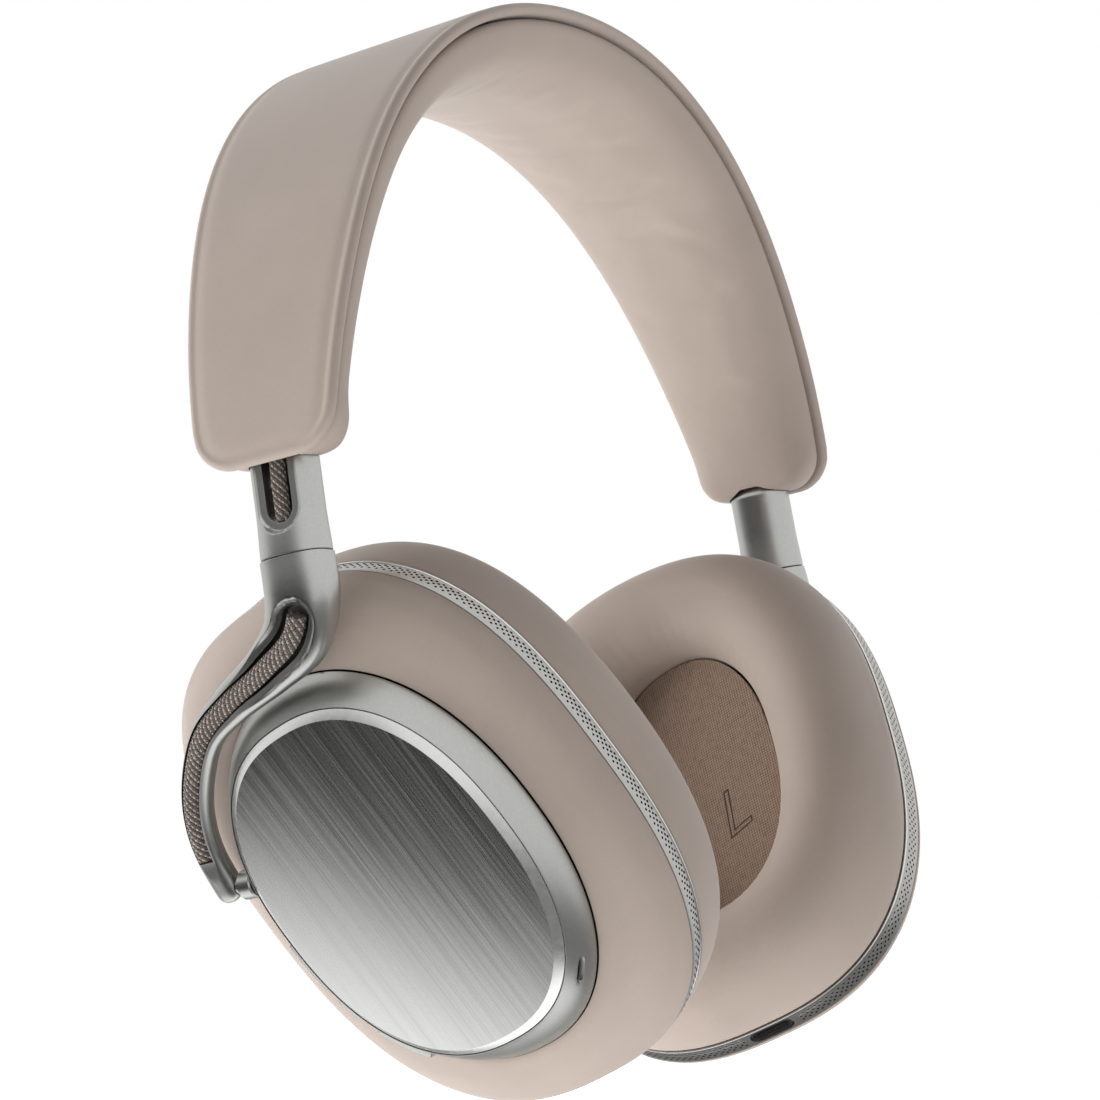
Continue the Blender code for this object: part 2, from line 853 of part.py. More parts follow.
def mic_block(margin, depth, proud):
    """A short bar let into the pod's lower front wall, along its outline."""
    middle = (MIC_LOW + MIC_HIGH) / 2
    along = (MIC_HIGH - MIC_LOW).normalized()
    across = Vector((1, 0, 0))
    out = along.cross(across)
    if out.z > 0:
        out = -out
    half = (MIC_HIGH - MIC_LOW).length / 2 + margin
    thin = 0.45 + margin
    rings = []
    for offset in (-depth, proud):
        ring = []
        for index in range(12):
            angle = 2 * math.pi * index / 12
            a = half * signed_power(math.cos(angle), 0.6)
            b = thin * signed_power(math.sin(angle), 0.8)
            ring.append(middle + along * a + across * b + out * offset)
        rings.append(ring)
    return loft(rings)


def pod_ring(button_spans):
    seat = PLATE.grow(0.3)
    ledge = PLATE.grow(-2.0)
    profile = [
        (POD.grow(-0.8), POD_FOOT - 0.3),
        (POD, POD_FOOT),
        (PLATE.grow(0.9), POD_TOP - 0.5),
        (PLATE.grow(0.5), POD_TOP),
        (seat, POD_TOP),
        (seat, 12.3),
        (ledge, 12.3),
        (ledge, 6.8),
        (POD.grow(-0.8), 6.8),
    ]
    pocket = rod(BOSS_RADIUS + 0.3, pivot_at(BOSS_START - 1), pivot_at(BOSS_END + 0.3))
    bore = rod(
        PIVOT_PIN_RADIUS + RUNNING_CLEARANCE,
        pivot_at(BOSS_START),
        pivot_at(PIVOT_PIN_END + 0.3),
    )
    cutters = [button_pocket(span) for span in button_spans]
    cutters.append(mic_block(0.1, 1.2, 4.0))
    return carve(oval_ring(profile, RIM_SEGMENTS), pocket, bore, *cutters)


def outer_plate():
    profile = [
        (PLATE.grow(-0.1), 12.6),
        (PLATE, 13.7),
        (PLATE.grow(-1.1), PLATE_TOP),
    ]
    return oval_solid(profile, RIM_SEGMENTS)


def circuit_board():
    board = PLATE.grow(-3.0)
    return oval_solid([(board, 7.0), (board, 8.2)], 32)


def battery():
    pouch = Oval(19, 13, 6)
    return oval_solid([(pouch.grow(-0.6), 8.6), (pouch, 9.2), (pouch, 11.4)], 24)


def port_pill(margin, low, high):
    """A pill across the lower end of the cup, for the port and its opening."""
    rings = []
    for z in (low, high):
        ring = []
        for index in range(20):
            angle = 2 * math.pi * index / 20
            x = (1.4 + margin) * math.sin(angle)
            y = (1.4 + margin) * math.cos(angle) + math.copysign(2.85, math.cos(angle))
            ring.append(Vector((x - 2.15, y + 0.5, z)))
        rings.append(ring)
    return loft(rings)


def usb_port():
    return carve(port_pill(0.0, -47.5, -41.0), port_pill(-0.35, -50.0, -42.0))


def disc(radius):
    return Oval(radius, radius, 2.0)


def driver_frame():
    radius = DRIVER_RADIUS
    profile = [
        (disc(radius), -1.6),
        (disc(radius), 1.0),
        (disc(10.5), 3.2),
        (disc(10.1), 2.4),
        (disc(radius - 1.8), 0.3),
        (disc(radius - 1.8), -1.6),
    ]
    rings = [oval.points(x, ROUND_SEGMENTS) for oval, x in profile]
    rings = rings[2::-1] + rings[:2:-1]
    return moved(loft(rings), slanted_frame(DRIVER_DEPTH))


def driver_cone():
    outer = disc(DRIVER_RADIUS - 2.1)
    profile = [
        (disc(5.0), 1.5),
        (outer, -0.9),
        (outer, -1.4),
        (disc(5.2), 0.9),
    ]
    return moved(oval_solid(profile, ROUND_SEGMENTS), slanted_frame(DRIVER_DEPTH))


def driver_magnet():
    magnet = disc(9.5)
    return moved(oval_solid([(magnet, 3.6), (magnet, 6.6)], ROUND_SEGMENTS), slanted_frame(DRIVER_DEPTH))


def baffle(with_port):
    """The plate the driver hangs in. It closes the front of the housing."""
    outer = RIM.grow(-3.8)
    hole = disc(DRIVER_RADIUS + 1.6)
    profile = [(outer, -4.1), (outer, -2.9), (hole, -2.9), (hole, -4.1)]
    bm = oval_ring(profile, INNER_SEGMENTS)
    return carve(bm, port_pill(0.4, -52, -40.5)) if with_port else bm


def cushion_frame():
    outer = RIM.grow(-3.4)
    inner = EAR.grow(2.8)
    profile = [(outer, -5.6), (outer, -4.5), (inner, -4.5), (inner, -5.6)]
    return oval_ring(profile, INNER_SEGMENTS)


def baffle_cloth():
    cloth = EAR.grow(-0.4)
    bm = oval_solid([(cloth, 0.0), (cloth, 0.8)], INNER_SEGMENTS)
    return moved(bm, slanted_frame(CLOTH_DEPTH))


def ear_cushion():
    crest = CUSHION_CREST
    outer_edge = RIM.grow(-0.45)
    steps = [
        (1.0, -4.6),
        (1.01, -7.0),
        (1.0, -12.0),
        (0.93, -17.0),
        (0.8, -20.6),
        (0.64, crest + 0.3),
        (0.48, crest),
        (0.3, crest + 0.9),
        (0.12, -18.8),
        (0.0, -14.6),
        (0.0, -5.9),
        (0.88, -5.9),
        (0.88, -4.6),
    ]
    profile = [(EAR.mix(outer_edge, share), x) for share, x in steps]
    return oval_ring(profile, RIM_SEGMENTS)


# Assembly


def clear_scene():
    for obj in list(bpy.data.objects):
        bpy.data.objects.remove(obj)


def build_headband():
    still = Matrix.Identity(4)
    place("headband_cover", headband_cover(), still, None, LEATHER)
    place("headband_pad", headband_pad(), still, None, LEATHER)
    place("spring_band", spring_band(), still, None, STEEL)


def build_stem(side):
    frame = stem_frame()
    side.place("slider_sleeve", slider_sleeve(), slide_frame(), None, PLASTIC)
    side.place("stem", stem(), frame, side.stem, SATIN_METAL)
    side.place("stem_cable", stem_cable(), frame, side.stem, CABLE_CLOTH)
    side.place("swivel_pin", swivel_pin(), frame, side.stem, STEEL)


def build_yoke(side):
    frame = cup_frame()
    side.place("yoke_arm", yoke_arm(), frame, side.yoke, SATIN_METAL)
    side.place("yoke_cable", yoke_cable(), frame, side.yoke, CABLE_CLOTH)
    side.place("pivot_pin", pivot_pin(), frame, side.yoke, SATIN_METAL)


def build_cup(side):
    left = side.sign < 0
    buttons = LEFT_BUTTONS if left else RIGHT_BUTTONS
    side.place_in_cup("perforated_ring", perforated_ring(left), SATIN_METAL)
    side.place_in_cup("cup_shell", cup_shell(), LEATHER)
    side.place_in_cup("cup_housing", cup_housing(left), PLASTIC)
    side.place_in_cup("pod_ring", pod_ring(buttons.values()), SATIN_METAL)
    side.place_in_cup("outer_plate", outer_plate(), BRUSHED_METAL)
    side.place_in_cup("mic_mesh", mic_block(0.0, 1.0, -0.4), PLASTIC)
    side.place_in_cup("circuit_board", circuit_board(), BOARD)
    side.place_in_cup("driver_frame", driver_frame(), PLASTIC)
    side.place_in_cup("driver_cone", driver_cone(), CARBON)
    side.place_in_cup("driver_magnet", driver_magnet(), STEEL)
    side.place_in_cup("baffle", baffle(left), PLASTIC)
    side.place_in_cup("baffle_cloth", baffle_cloth(), BAFFLE_CLOTH)
    side.place_in_cup("cushion_frame", cushion_frame(), PLASTIC)
    side.place_in_cup("ear_cushion", ear_cushion(), LEATHER)
    for name, span in buttons.items():
        side.place_in_cup(name, button(span), SATIN_METAL, button_centre(span))
    if left:
        side.place_in_cup("battery", battery(), FOIL)
        side.place_in_cup("usb_port", usb_port(), PLASTIC)


def main():
    clear_scene()
    build_headband()
    for side in (Side("r", 1), Side("l", -1)):
        build_stem(side)
        build_yoke(side)
        build_cup(side)


main()
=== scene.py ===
"""Over-ear headphones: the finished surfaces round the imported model.

Shapes are in millimetres in the helpers, and make() turns them into Blender's metres. The row
frame has its origin on the underside of the headband pad at the crown: +X is the wearer's right,
+Y the front and +Z up. The cup frame has x outward, y to the cup's front and z up its long axis.
The right side is modelled, and the left side is its mirror image in X.
"""

import json
import math

import bmesh
import bpy
from mathutils import Matrix, Vector

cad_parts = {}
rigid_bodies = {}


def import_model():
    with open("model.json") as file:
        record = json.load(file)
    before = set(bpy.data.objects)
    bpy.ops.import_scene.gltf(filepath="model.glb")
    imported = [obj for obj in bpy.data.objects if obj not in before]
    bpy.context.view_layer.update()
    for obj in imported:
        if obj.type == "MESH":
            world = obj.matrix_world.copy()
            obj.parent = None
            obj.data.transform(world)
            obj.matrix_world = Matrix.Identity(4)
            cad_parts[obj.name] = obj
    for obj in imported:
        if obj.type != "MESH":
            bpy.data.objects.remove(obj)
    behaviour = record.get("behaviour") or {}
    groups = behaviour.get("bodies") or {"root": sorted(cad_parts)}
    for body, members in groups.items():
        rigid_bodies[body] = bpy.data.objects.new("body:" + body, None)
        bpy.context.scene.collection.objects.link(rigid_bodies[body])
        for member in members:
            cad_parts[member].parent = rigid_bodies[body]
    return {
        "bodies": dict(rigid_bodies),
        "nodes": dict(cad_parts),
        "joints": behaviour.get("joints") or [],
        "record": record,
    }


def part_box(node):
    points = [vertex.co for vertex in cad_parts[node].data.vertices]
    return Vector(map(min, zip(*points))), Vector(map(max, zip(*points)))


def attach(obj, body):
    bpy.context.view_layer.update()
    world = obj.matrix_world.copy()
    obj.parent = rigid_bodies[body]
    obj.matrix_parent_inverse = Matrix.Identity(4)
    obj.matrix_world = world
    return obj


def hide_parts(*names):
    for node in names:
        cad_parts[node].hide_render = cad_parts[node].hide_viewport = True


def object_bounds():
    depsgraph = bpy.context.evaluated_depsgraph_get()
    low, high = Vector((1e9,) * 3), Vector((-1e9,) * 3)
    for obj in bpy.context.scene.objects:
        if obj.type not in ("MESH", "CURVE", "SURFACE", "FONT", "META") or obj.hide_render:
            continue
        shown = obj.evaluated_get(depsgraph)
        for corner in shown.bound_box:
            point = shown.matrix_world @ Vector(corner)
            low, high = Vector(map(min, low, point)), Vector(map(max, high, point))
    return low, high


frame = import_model()
CAD_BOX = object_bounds()

MM = 0.001
ROD_SIDES = 48
SHARP_EDGE = 40.0

# Headband
BAND_HALF_LENGTH = 129.5
BAND_TURNS = (1.15, 1.73, 1.83, 0.92, 1.38)
BAND_HALF_WIDTH = 20.7
BAND_TAPER = 7.7
BAND_CORNER = 7.0
CROWN_THICKNESS = 12.6
END_THICKNESS = 10.6
COVER_THICKNESS = 2.2
PAD_GAP = 0.3
PAD_INSET = 0.7
BEAD_RADIUS = 0.95
BEAD_DEPTH = 1.05
CREASE_DEPTH = 0.24
CREASE_WIDTH = 1.7
CHANNEL_SHALLOW = 4.2
CHANNEL_DEEP = 9.0
CHANNEL_END_WIDTH = 4.8
CHANNEL_SLEEVE_WIDTH = 5.75

# Stems
STEM_LENGTH = 14.3
STEM_HALF_DEPTH = 3.9
STEM_HALF_WIDTH = 5.9
STEM_ENTRY = 0.8
SECTION_POINTS = 144
LIP_STEP = 0.95
LIP_HALF_WIDTH = 3.95
BLADE_OFFSET = -0.3
BLADE_HALF_THICKNESS = 1.0
BLADE_HALF_WIDTH = 4.2
BLADE_LENGTH = 23.0
SLOT_HALF_WIDTH = 2.5
SLOT_LENGTH = 9.1
SLOT_FLOOR = 0.75
CLEAR_OF_STEM = 8.0
STEM_CABLE_RADIUS = 1.2
STEM_CABLE_TOP = 13.0
SWIVEL_PIN_RADIUS = 1.95
SWIVEL_PIN_REACH = 4.6
SWIVEL_GAP = 0.2

# Cups
CUP_SLANT = math.radians(16.5)
BAFFLE_TILT = math.radians(10.0)
RIM_DEPTH = -4.24
POD_FOOT = 8.3
POD_TOP = 13.5
PLATE_TOP = 14.6
CUSHION_CREST = -22.8
CLOTH_DEPTH = -9.6
BUTTON_LOW = 10.0
BUTTON_HIGH = 12.2
BUTTON_PROUD = 0.8
BUTTON_DEPTH = 2.4
BUTTON_POCKET = 3.3
BUTTON_GAP = 0.3
RIGHT_BUTTONS = {
    "volume_up_button": (-10.1, -0.5),
    "play_button": (-16.9, -12.7),
    "volume_down_button": (-28.2, -20.3),
}
LEFT_BUTTONS = {"mode_button": (-10.1, -0.5), "power_button": (-16.9, -12.7)}
MIC_LOW = Vector((11.2, 15.8, -28.9))
MIC_HIGH = Vector((11.2, 19.2, -25.4))
POD_SLOPE = 0.7

# Yoke arms
ARM_POWER = 2.8
PIVOT = Vector((10.9, -31.8, 12.8))
PIVOT_PIN_RADIUS = 1.5
PIVOT_PIN_END = 8.8
BOSS_RADIUS = 2.5
BOSS_START = 3.4
BOSS_END = 6.2
CABLE_RADIUS = 1.5
GROOVE_HALF_WIDTH = 1.75
GROOVE_TOP_HALF_WIDTH = 2.6
GROOVE_DEPTH = 2.9
GROOVE_SHIFT = 0.5
GROOVE_TOP_SHIFT = -1.0
GROOVE_START = 1.12
GROOVE_END = 8.1
GROOVE_ROUND = 0.8
LIP_MARGIN = 1.15
STATION_PITCH = 7.0

# Perforated ring
HOLES_ROUND = 216
HOLE_RADIUS = 0.24
HOLE_ROW = 0.58
HOLE_ROWS = 4
HOLE_START = -3.28
HOLE_DEPTH = 0.9
RING_BOW = 0.495

# Charging port
PORT_X = -2.15
PORT_Y = 0.5
PORT_RADIUS = 1.4
PORT_STRAIGHT = 2.85
PORT_CLEAR = 5.6
TONGUE_Z = -42.6


def signed_power(value, power):
    return math.copysign(abs(value) ** power, value)


def smooth_step(low, high, value):
    share = min(max((value - low) / (high - low), 0.0), 1.0)
    return share * share * (3 - 2 * share)


def metres(matrix):
    scaled = matrix.copy()
    scaled.translation = matrix.translation * MM
    return scaled


def spread(start, end, steps):
    return [start + (end - start) * index / steps for index in range(steps + 1)]


def catmull(values, position):
    """A smooth value at a position counted in the given values."""
    index = min(int(position), len(values) - 2)
    t = position - index
    before = values[max(index - 1, 0)]
    start = values[index]
    end = values[index + 1]
    after = values[min(index + 2, len(values) - 1)]
    bend = (2 * before - 5 * start + 4 * end - after) * t * t
    swing = (3 * start - before - 3 * end + after) * t * t * t
    return 0.5 * (2 * start + (end - before) * t + bend + swing)


def smoothed(points, per_span):
    """Points along a smooth curve through the given 2-D points."""
    vectors = [Vector(point) for point in points]
    count = (len(vectors) - 1) * per_span
    return [catmull(vectors, index / per_span) for index in range(count + 1)]


class Oval:
    """A superellipse round the cup's axis: z half height, y half width, power and drop."""

    def __init__(self, height, width, power, drop=0.0):
        self.height = height
        self.width = width
        self.power = power
        self.drop = drop

    def grow(self, by):
        return Oval(self.height + by, self.width + by, self.power, self.drop)

    def mix(self, other, share):
        def between(one, two):
            return one + (two - one) * share

        return Oval(
            between(self.height, other.height),
            between(self.width, other.width),
            between(self.power, other.power),
            between(self.drop, other.drop),
        )

    def point(self, angle, x):
        y = self.width * signed_power(math.cos(angle), 2 / self.power)
        z = self.height * signed_power(math.sin(angle), 2 / self.power)
        return Vector((x, y, z - self.drop))

    def points(self, x, count):
        return [self.point(2 * math.pi * index / count, x) for index in range(count)]

    def even_points(self, count):
        """Points at equal distances round the oval, starting at its front."""
        fine = self.points(0, 4000)
        lengths = [0.0]
        for index, point in enumerate(fine):
            lengths.append(lengths[-1] + (fine[(index + 1) % len(fine)] - point).length)
        found = []
        at = 0
        for index in range(count):
            goal = lengths[-1] * index / count
            while lengths[at + 1] < goal:
                at += 1
            share = (goal - lengths[at]) / (lengths[at + 1] - lengths[at])
            found.append(fine[at].lerp(fine[(at + 1) % len(fine)], share))
        return found

    def rear_point(self, z):
        """The point (y, z) of the rear half at height z, and its outward normal."""
        high = abs((z + self.drop) / self.height)
        y = -self.width * (1 - high**self.power) ** (1 / self.power)
        steep_y = -abs(y / self.width) ** (self.power - 1) / self.width
        steep_z = math.copysign(high ** (self.power - 1), z + self.drop) / self.height
        return Vector((0, y, z)), Vector((0, steep_y, steep_z)).normalized()


RIM = Oval(48.0, 38.5, 2.57)
POD = Oval(36.1, 28.45, 2.19, 0.5)
PLATE = Oval(31.45, 25.9, 2.32, 0.5)
EAR = Oval(28.3, 19.2, 2.3)


# Frames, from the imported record


def record_entry(entries, name):
    return next(entry for entry in entries if entry["name"] == name)


def axes_frame(origin, x, y, z):
    matrix = Matrix((x, y, z)).transposed().to_4x4()
    matrix.translation = origin
    return matrix


def cup_frame():
    face = record_entry(frame["record"]["mounts"], "plate_face_r")
    tilt = record_entry(frame["joints"], "tilt_r")
    x = Vector(face["axis"]).normalized()
    level = -Vector(tilt["axis"]).normalized()
    origin = Vector(face["pos_m"]) / MM - x * PLATE_TOP
    return axes_frame(origin, x, level, x.cross(level)) @ Matrix.Rotation(CUP_SLANT, 4, "X")


def stem_frame():
    swivel = record_entry(frame["joints"], "swivel_r")
    z = Vector(swivel["axis"]).normalized()
    y = Vector((0, 1, 0))
    return axes_frame(Vector(swivel["pos_m"]) / MM + z * STEM_LENGTH, y.cross(z), y, z)


def slide_frame():
    slider = record_entry(frame["joints"], "slider_r")
    z = -Vector(slider["axis"]).normalized()
    y = Vector((0, 1, 0))
    return axes_frame(stem_frame().translation, y.cross(z), y, z)


CUP = cup_frame()
STEM = stem_frame()
SLIDE = slide_frame()
SWIVEL = STEM @ Matrix.Translation((0, 0, -STEM_LENGTH))
BAND = Matrix.Identity(4)
MIRROR = Matrix.Diagonal((-1, 1, 1, 1))
LEFT_CUP = MIRROR @ CUP @ MIRROR


def pivot_at(distance):
    """A point on the tilt axis, at a distance forward of the arm's centre."""
    return PIVOT + Matrix.Rotation(-CUP_SLANT, 3, "X") @ Vector((0, distance, 0))


def slanted_frame(depth):
    return Matrix.Translation((depth, 0, 0)) @ Matrix.Rotation(BAFFLE_TILT, 4, "Z")


# Meshes


class Shape:
    """Points and faces in millimetres. Each face has the number of its material."""

    def __init__(self):
        self.points = []
        self.faces = []
        self.slots = []

    def face(self, corners, slot=0):
        self.faces.append(tuple(corners))
        self.slots.append(slot)

    def rings(self, rings, closed=False, slots=None):
        """Adds a solid through rings of points, with flat ends unless it is closed."""
        base = len(self.points)
        count = len(rings[0])
        for ring in rings:
            self.points.extend(ring)
        spans = len(rings) if closed else len(rings) - 1
        for row in range(spans):
            low = base + row * count
            high = base + (row + 1) % len(rings) * count
            slot = slots[row] if slots else 0
            for index in range(count):
                after = (index + 1) % count
                self.face((low + index, low + after, high + after, high + index), slot)
        if not closed:
            self.face(range(base, base + count), slots[0] if slots else 0)
            last = base + (len(rings) - 1) * count
            self.face(range(last, last + count), slots[-1] if slots else 0)
        return self

    def moved(self, matrix):
        self.points = [matrix @ point for point in self.points]
        return self

    def mirrored(self):
        copy = Shape()
        copy.points = [Vector((-point.x, point.y, point.z)) for point in self.points]
        copy.faces = [face[::-1] for face in self.faces]
        copy.slots = list(self.slots)
        return copy

    def mesh(self, name, scale=1.0):
        mesh = bpy.data.meshes.new(name)
        mesh.from_pydata([point * scale for point in self.points], [], self.faces)
        mesh.polygons.foreach_set("material_index", self.slots)
        bm = bmesh.new()
        bm.from_mesh(mesh)
        bmesh.ops.recalc_face_normals(bm, faces=bm.faces)
        bm.to_mesh(mesh)
        bm.free()
        return mesh


def shape_of(mesh):
    shape = Shape()
    shape.points = [vertex.co.copy() for vertex in mesh.vertices]
    shape.faces = [tuple(polygon.vertices) for polygon in mesh.polygons]
    shape.slots = [polygon.material_index for polygon in mesh.polygons]
    return shape


def helper_object(shape, scale=1.0):
    obj = bpy.data.objects.new("helper", shape.mesh("helper", scale))
    for _ in range(4):
        obj.data.materials.append(None)
    bpy.context.scene.collection.objects.link(obj)
    return obj


def drop_object(obj):
    mesh = obj.data
    bpy.data.objects.remove(obj)
    bpy.data.meshes.remove(mesh)


def carved(shape, cutters, operation="DIFFERENCE", bevel=0.0):
    """The shape after a Boolean with each cutter, and with its sharp edges rounded when a bevel
    width is given.
    """
    body = helper_object(shape)
    helpers = [helper_object(cutter) for cutter in cutters]
    for helper in helpers:
        modifier = body.modifiers.new("carve", "BOOLEAN")
        modifier.operation = operation
        modifier.solver = "MANIFOLD"
        modifier.object = helper
    if bevel:
        modifier = body.modifiers.new("edges", "BEVEL")
        modifier.width = bevel
        modifier.segments = 3
        modifier.limit_method = "ANGLE"
        modifier.angle_limit = math.radians(38)
        modifier.use_clamp_overlap = True
    graph = bpy.context.evaluated_depsgraph_get()
    result = shape_of(body.evaluated_get(graph).to_mesh())
    for obj in (body, *helpers):
        drop_object(obj)
    return result


def rod(radius, start, end, chamfer=0.0):
    """A round rod between two points."""
    start = Vector(start)
    along = Vector(end) - start
    turn = along.to_track_quat("Z", "Y")
    unit = along.normalized()
    stations = [(0.0, radius), (along.length, radius)]
    if chamfer:
        stations = [
            (0.0, radius - chamfer),
            (chamfer, radius),
            (along.length - chamfer, radius),
            (along.length, radius - chamfer),
        ]
    rings = []
    for distance, size in stations:
        ring = []
        for index in range(ROD_SIDES):
            angle = 2 * math.pi * index / ROD_SIDES
            spoke = Vector((math.cos(angle), math.sin(angle), 0)) * size
            ring.append(start + unit * distance + turn @ spoke)
        rings.append(ring)
    return Shape().rings(rings)


# Materials


def mapped(tree, value, from_min, from_max, to_min, to_max, smooth=False):
    """The value carried from one range to another, and held at the ends."""
    node = tree.nodes.new("ShaderNodeMapRange")
    if smooth:
        node.interpolation_type = "SMOOTHSTEP"
    numbers = {"From Min": from_min, "From Max": from_max, "To Min": to_min, "To Max": to_max}
    for socket, number in numbers.items():
        node.inputs[socket].default_value = number
    tree.links.new(value, node.inputs["Value"])
    return node.outputs[0]


def along_direction(tree, place, direction):
    """How far the place lies in a direction."""
    node = tree.nodes.new("ShaderNodeVectorMath")
    node.operation = "DOT_PRODUCT"
    node.inputs[1].default_value = direction
    tree.links.new(place, node.inputs[0])
    return node.outputs["Value"]


class Finish:
    """A procedural material built up from a Principled shader."""

    def __init__(self, name, colour, roughness, metallic=0.0, place=None, **sockets):
        self.material = bpy.data.materials.new(name)
        self.material.use_nodes = True
        self.tree = self.material.node_tree
        self.shader = self.tree.nodes["Principled BSDF"]
        self.colour = colour
        self.shader.inputs["Base Color"].default_value = (*colour, 1.0)
        self.shader.inputs["Roughness"].default_value = roughness
        self.shader.inputs["Metallic"].default_value = metallic
        for socket, value in sockets.items():
            self.shader.inputs[socket.replace("_", " ")].default_value = value
        self.place = self.tree.nodes.new("ShaderNodeTexCoord").outputs["Object"]
        if place is not None:
            inverse = metres(place).inverted()
            node = self.tree.nodes.new("ShaderNodeMapping")
            node.inputs["Location"].default_value = inverse.translation
            node.inputs["Rotation"].default_value = inverse.to_euler()
            self.tree.links.new(self.place, node.inputs["Vector"])
            self.place = node.outputs[0]
        self.height = None

    def math(self, operation, one, two=0.0, three=None):
        node = self.tree.nodes.new("ShaderNodeMath")
        node.operation = operation
        values = (one, two) if three is None else (one, two, three)
        for index, value in enumerate(values):
            if isinstance(value, (int, float)):
                node.inputs[index].default_value = value
            else:
                self.tree.links.new(value, node.inputs[index])
        return node.outputs[0]

    def scaled(self, x, y, z):
        node = self.tree.nodes.new("ShaderNodeMapping")
        node.inputs["Scale"].default_value = (x, y, z)
        self.tree.links.new(self.place, node.inputs["Vector"])
        return node.outputs[0]

    def parts(self):
        node = self.tree.nodes.new("ShaderNodeSeparateXYZ")
        self.tree.links.new(self.place, node.inputs[0])
        return node.outputs

    def noise(self, scale, detail=2.0, where=None, roughness=0.5):
        node = self.tree.nodes.new("ShaderNodeTexNoise")
        node.inputs["Scale"].default_value = scale
        node.inputs["Detail"].default_value = detail
        node.inputs["Roughness"].default_value = roughness
        self.tree.links.new(where or self.place, node.inputs["Vector"])
        return node.outputs[0]

    def cells(self, scale, feature="F1"):
        node = self.tree.nodes.new("ShaderNodeTexVoronoi")
        node.feature = feature
        node.inputs["Scale"].default_value = scale
        self.tree.links.new(self.place, node.inputs["Vector"])
        return node.outputs["Distance"]

    def ramp(self, value, stops):
        node = self.tree.nodes.new("ShaderNodeValToRGB")
        elements = node.color_ramp.elements
        while len(elements) < len(stops):
            elements.new(0.5)
        for element, (position, colour) in zip(elements, stops):
            element.position = position
            element.color = (*colour, 1.0)
        self.tree.links.new(value, node.inputs[0])
        return node.outputs[0]

    def tint(self, value, low, high, start=0.0, end=1.0):
        """The base colour times low where value is at start, rising to times high at end."""
        dark = tuple(channel * low for channel in self.colour)
        light = tuple(min(channel * high, 1.0) for channel in self.colour)
        colour = self.ramp(value, [(start, dark), (end, light)])
        self.tree.links.new(colour, self.shader.inputs["Base Color"])

    def rough(self, value, low, high, start=0.0, end=1.0):
        spread_out = mapped(self.tree, value, start, end, low, high)
        self.tree.links.new(spread_out, self.shader.inputs["Roughness"])

    def bump(self, value, strength, distance):
        node = self.tree.nodes.new("ShaderNodeBump")
        node.inputs["Strength"].default_value = strength
        node.inputs["Distance"].default_value = distance
        self.tree.links.new(value, node.inputs["Height"])
        if self.height is not None:
            self.tree.links.new(self.height, node.inputs["Normal"])
        self.height = node.outputs[0]
        self.tree.links.new(self.height, self.shader.inputs["Normal"])


def leather(name, colour, roughness=0.5):
    """Fine-grained coated leather: pores and pebbles under half a millimetre, faintly mottled."""
    gleam = {"Specular_IOR_Level": 0.42, "Sheen_Weight": 0.2, "Sheen_Roughness": 0.45}
    finish = Finish(name, colour, roughness, **gleam)
    mottle = finish.noise(55.0, 4.0)
    fine = finish.noise(2600.0, 3.0)
    blend = finish.math("MULTIPLY_ADD", fine, 0.35, finish.math("MULTIPLY", mottle, 0.65))
    finish.tint(blend, 0.93, 1.05, 0.3, 0.7)
    finish.rough(fine, roughness - 0.06, roughness + 0.08, 0.3, 0.7)
    finish.bump(finish.cells(2100.0), 0.16, 0.00006)
    finish.bump(fine, 0.22, 0.00004)
    finish.bump(finish.noise(420.0, 2.0), 0.07, 0.00016)
    return finish.material


def satin_metal(name, colour, roughness=0.3):
    """Bead-blasted aluminium: a very fine even sparkle."""
    finish = Finish(name, colour, roughness, 1.0)
    grain = finish.noise(5200.0, 2.0)
    finish.tint(finish.noise(2600.0, 2.0), 0.96, 1.04, 0.3, 0.7)
    finish.rough(grain, roughness - 0.05, roughness + 0.07, 0.3, 0.7)
    finish.bump(grain, 0.06, 0.00003)
    return finish.material


def brushed_metal(name, colour, place, roughness=0.24):
    """Aluminium brushed along z of the given frame."""
    finish = Finish(name, colour, roughness, 1.0, place)
    fine = finish.noise(1.0, 1.0, finish.scaled(1500.0, 4200.0, 26.0), 0.6)
    broad = finish.noise(1.0, 2.0, finish.scaled(300.0, 900.0, 9.0), 0.6)
    streak = finish.math("MULTIPLY_ADD", fine, 0.6, finish.math("MULTIPLY", broad, 0.4))
    finish.tint(streak, 0.86, 1.12, 0.34, 0.66)
    finish.rough(streak, roughness - 0.06, roughness + 0.08, 0.34, 0.66)
    finish.bump(streak, 0.05, 0.00004)
    return finish.material


def plain_metal(name, colour, roughness):
    finish = Finish(name, colour, roughness, 1.0)
    grain = finish.noise(900.0, 4.0)
    finish.tint(grain, 0.94, 1.05, 0.3, 0.7)
    finish.rough(grain, roughness - 0.03, roughness + 0.04, 0.3, 0.7)
    return finish.material


def moulded(name, colour, roughness=0.5, gleam=0.5):
    """Spark-eroded moulded plastic."""
    finish = Finish(name, colour, roughness, Specular_IOR_Level=gleam)
    grain = finish.noise(3400.0, 2.0)
    finish.tint(grain, 0.88, 1.12, 0.3, 0.7)
    finish.bump(grain, 0.2, 0.00004)
    return finish.material


def yarn(name, colour):
    """Twisted yarn: short fibres and flecks."""
    finish = Finish(name, colour, 0.85, Sheen_Weight=0.25)
    fibre = finish.noise(5200.0, 3.0)
    fleck = finish.noise(1300.0, 2.0)
    blend = finish.math("MULTIPLY_ADD", fibre, 0.5, finish.math("MULTIPLY", fleck, 0.5))
    finish.tint(blend, 0.55, 1.45, 0.36, 0.64)
    finish.bump(fibre, 0.5, 0.00006)
    return finish.material


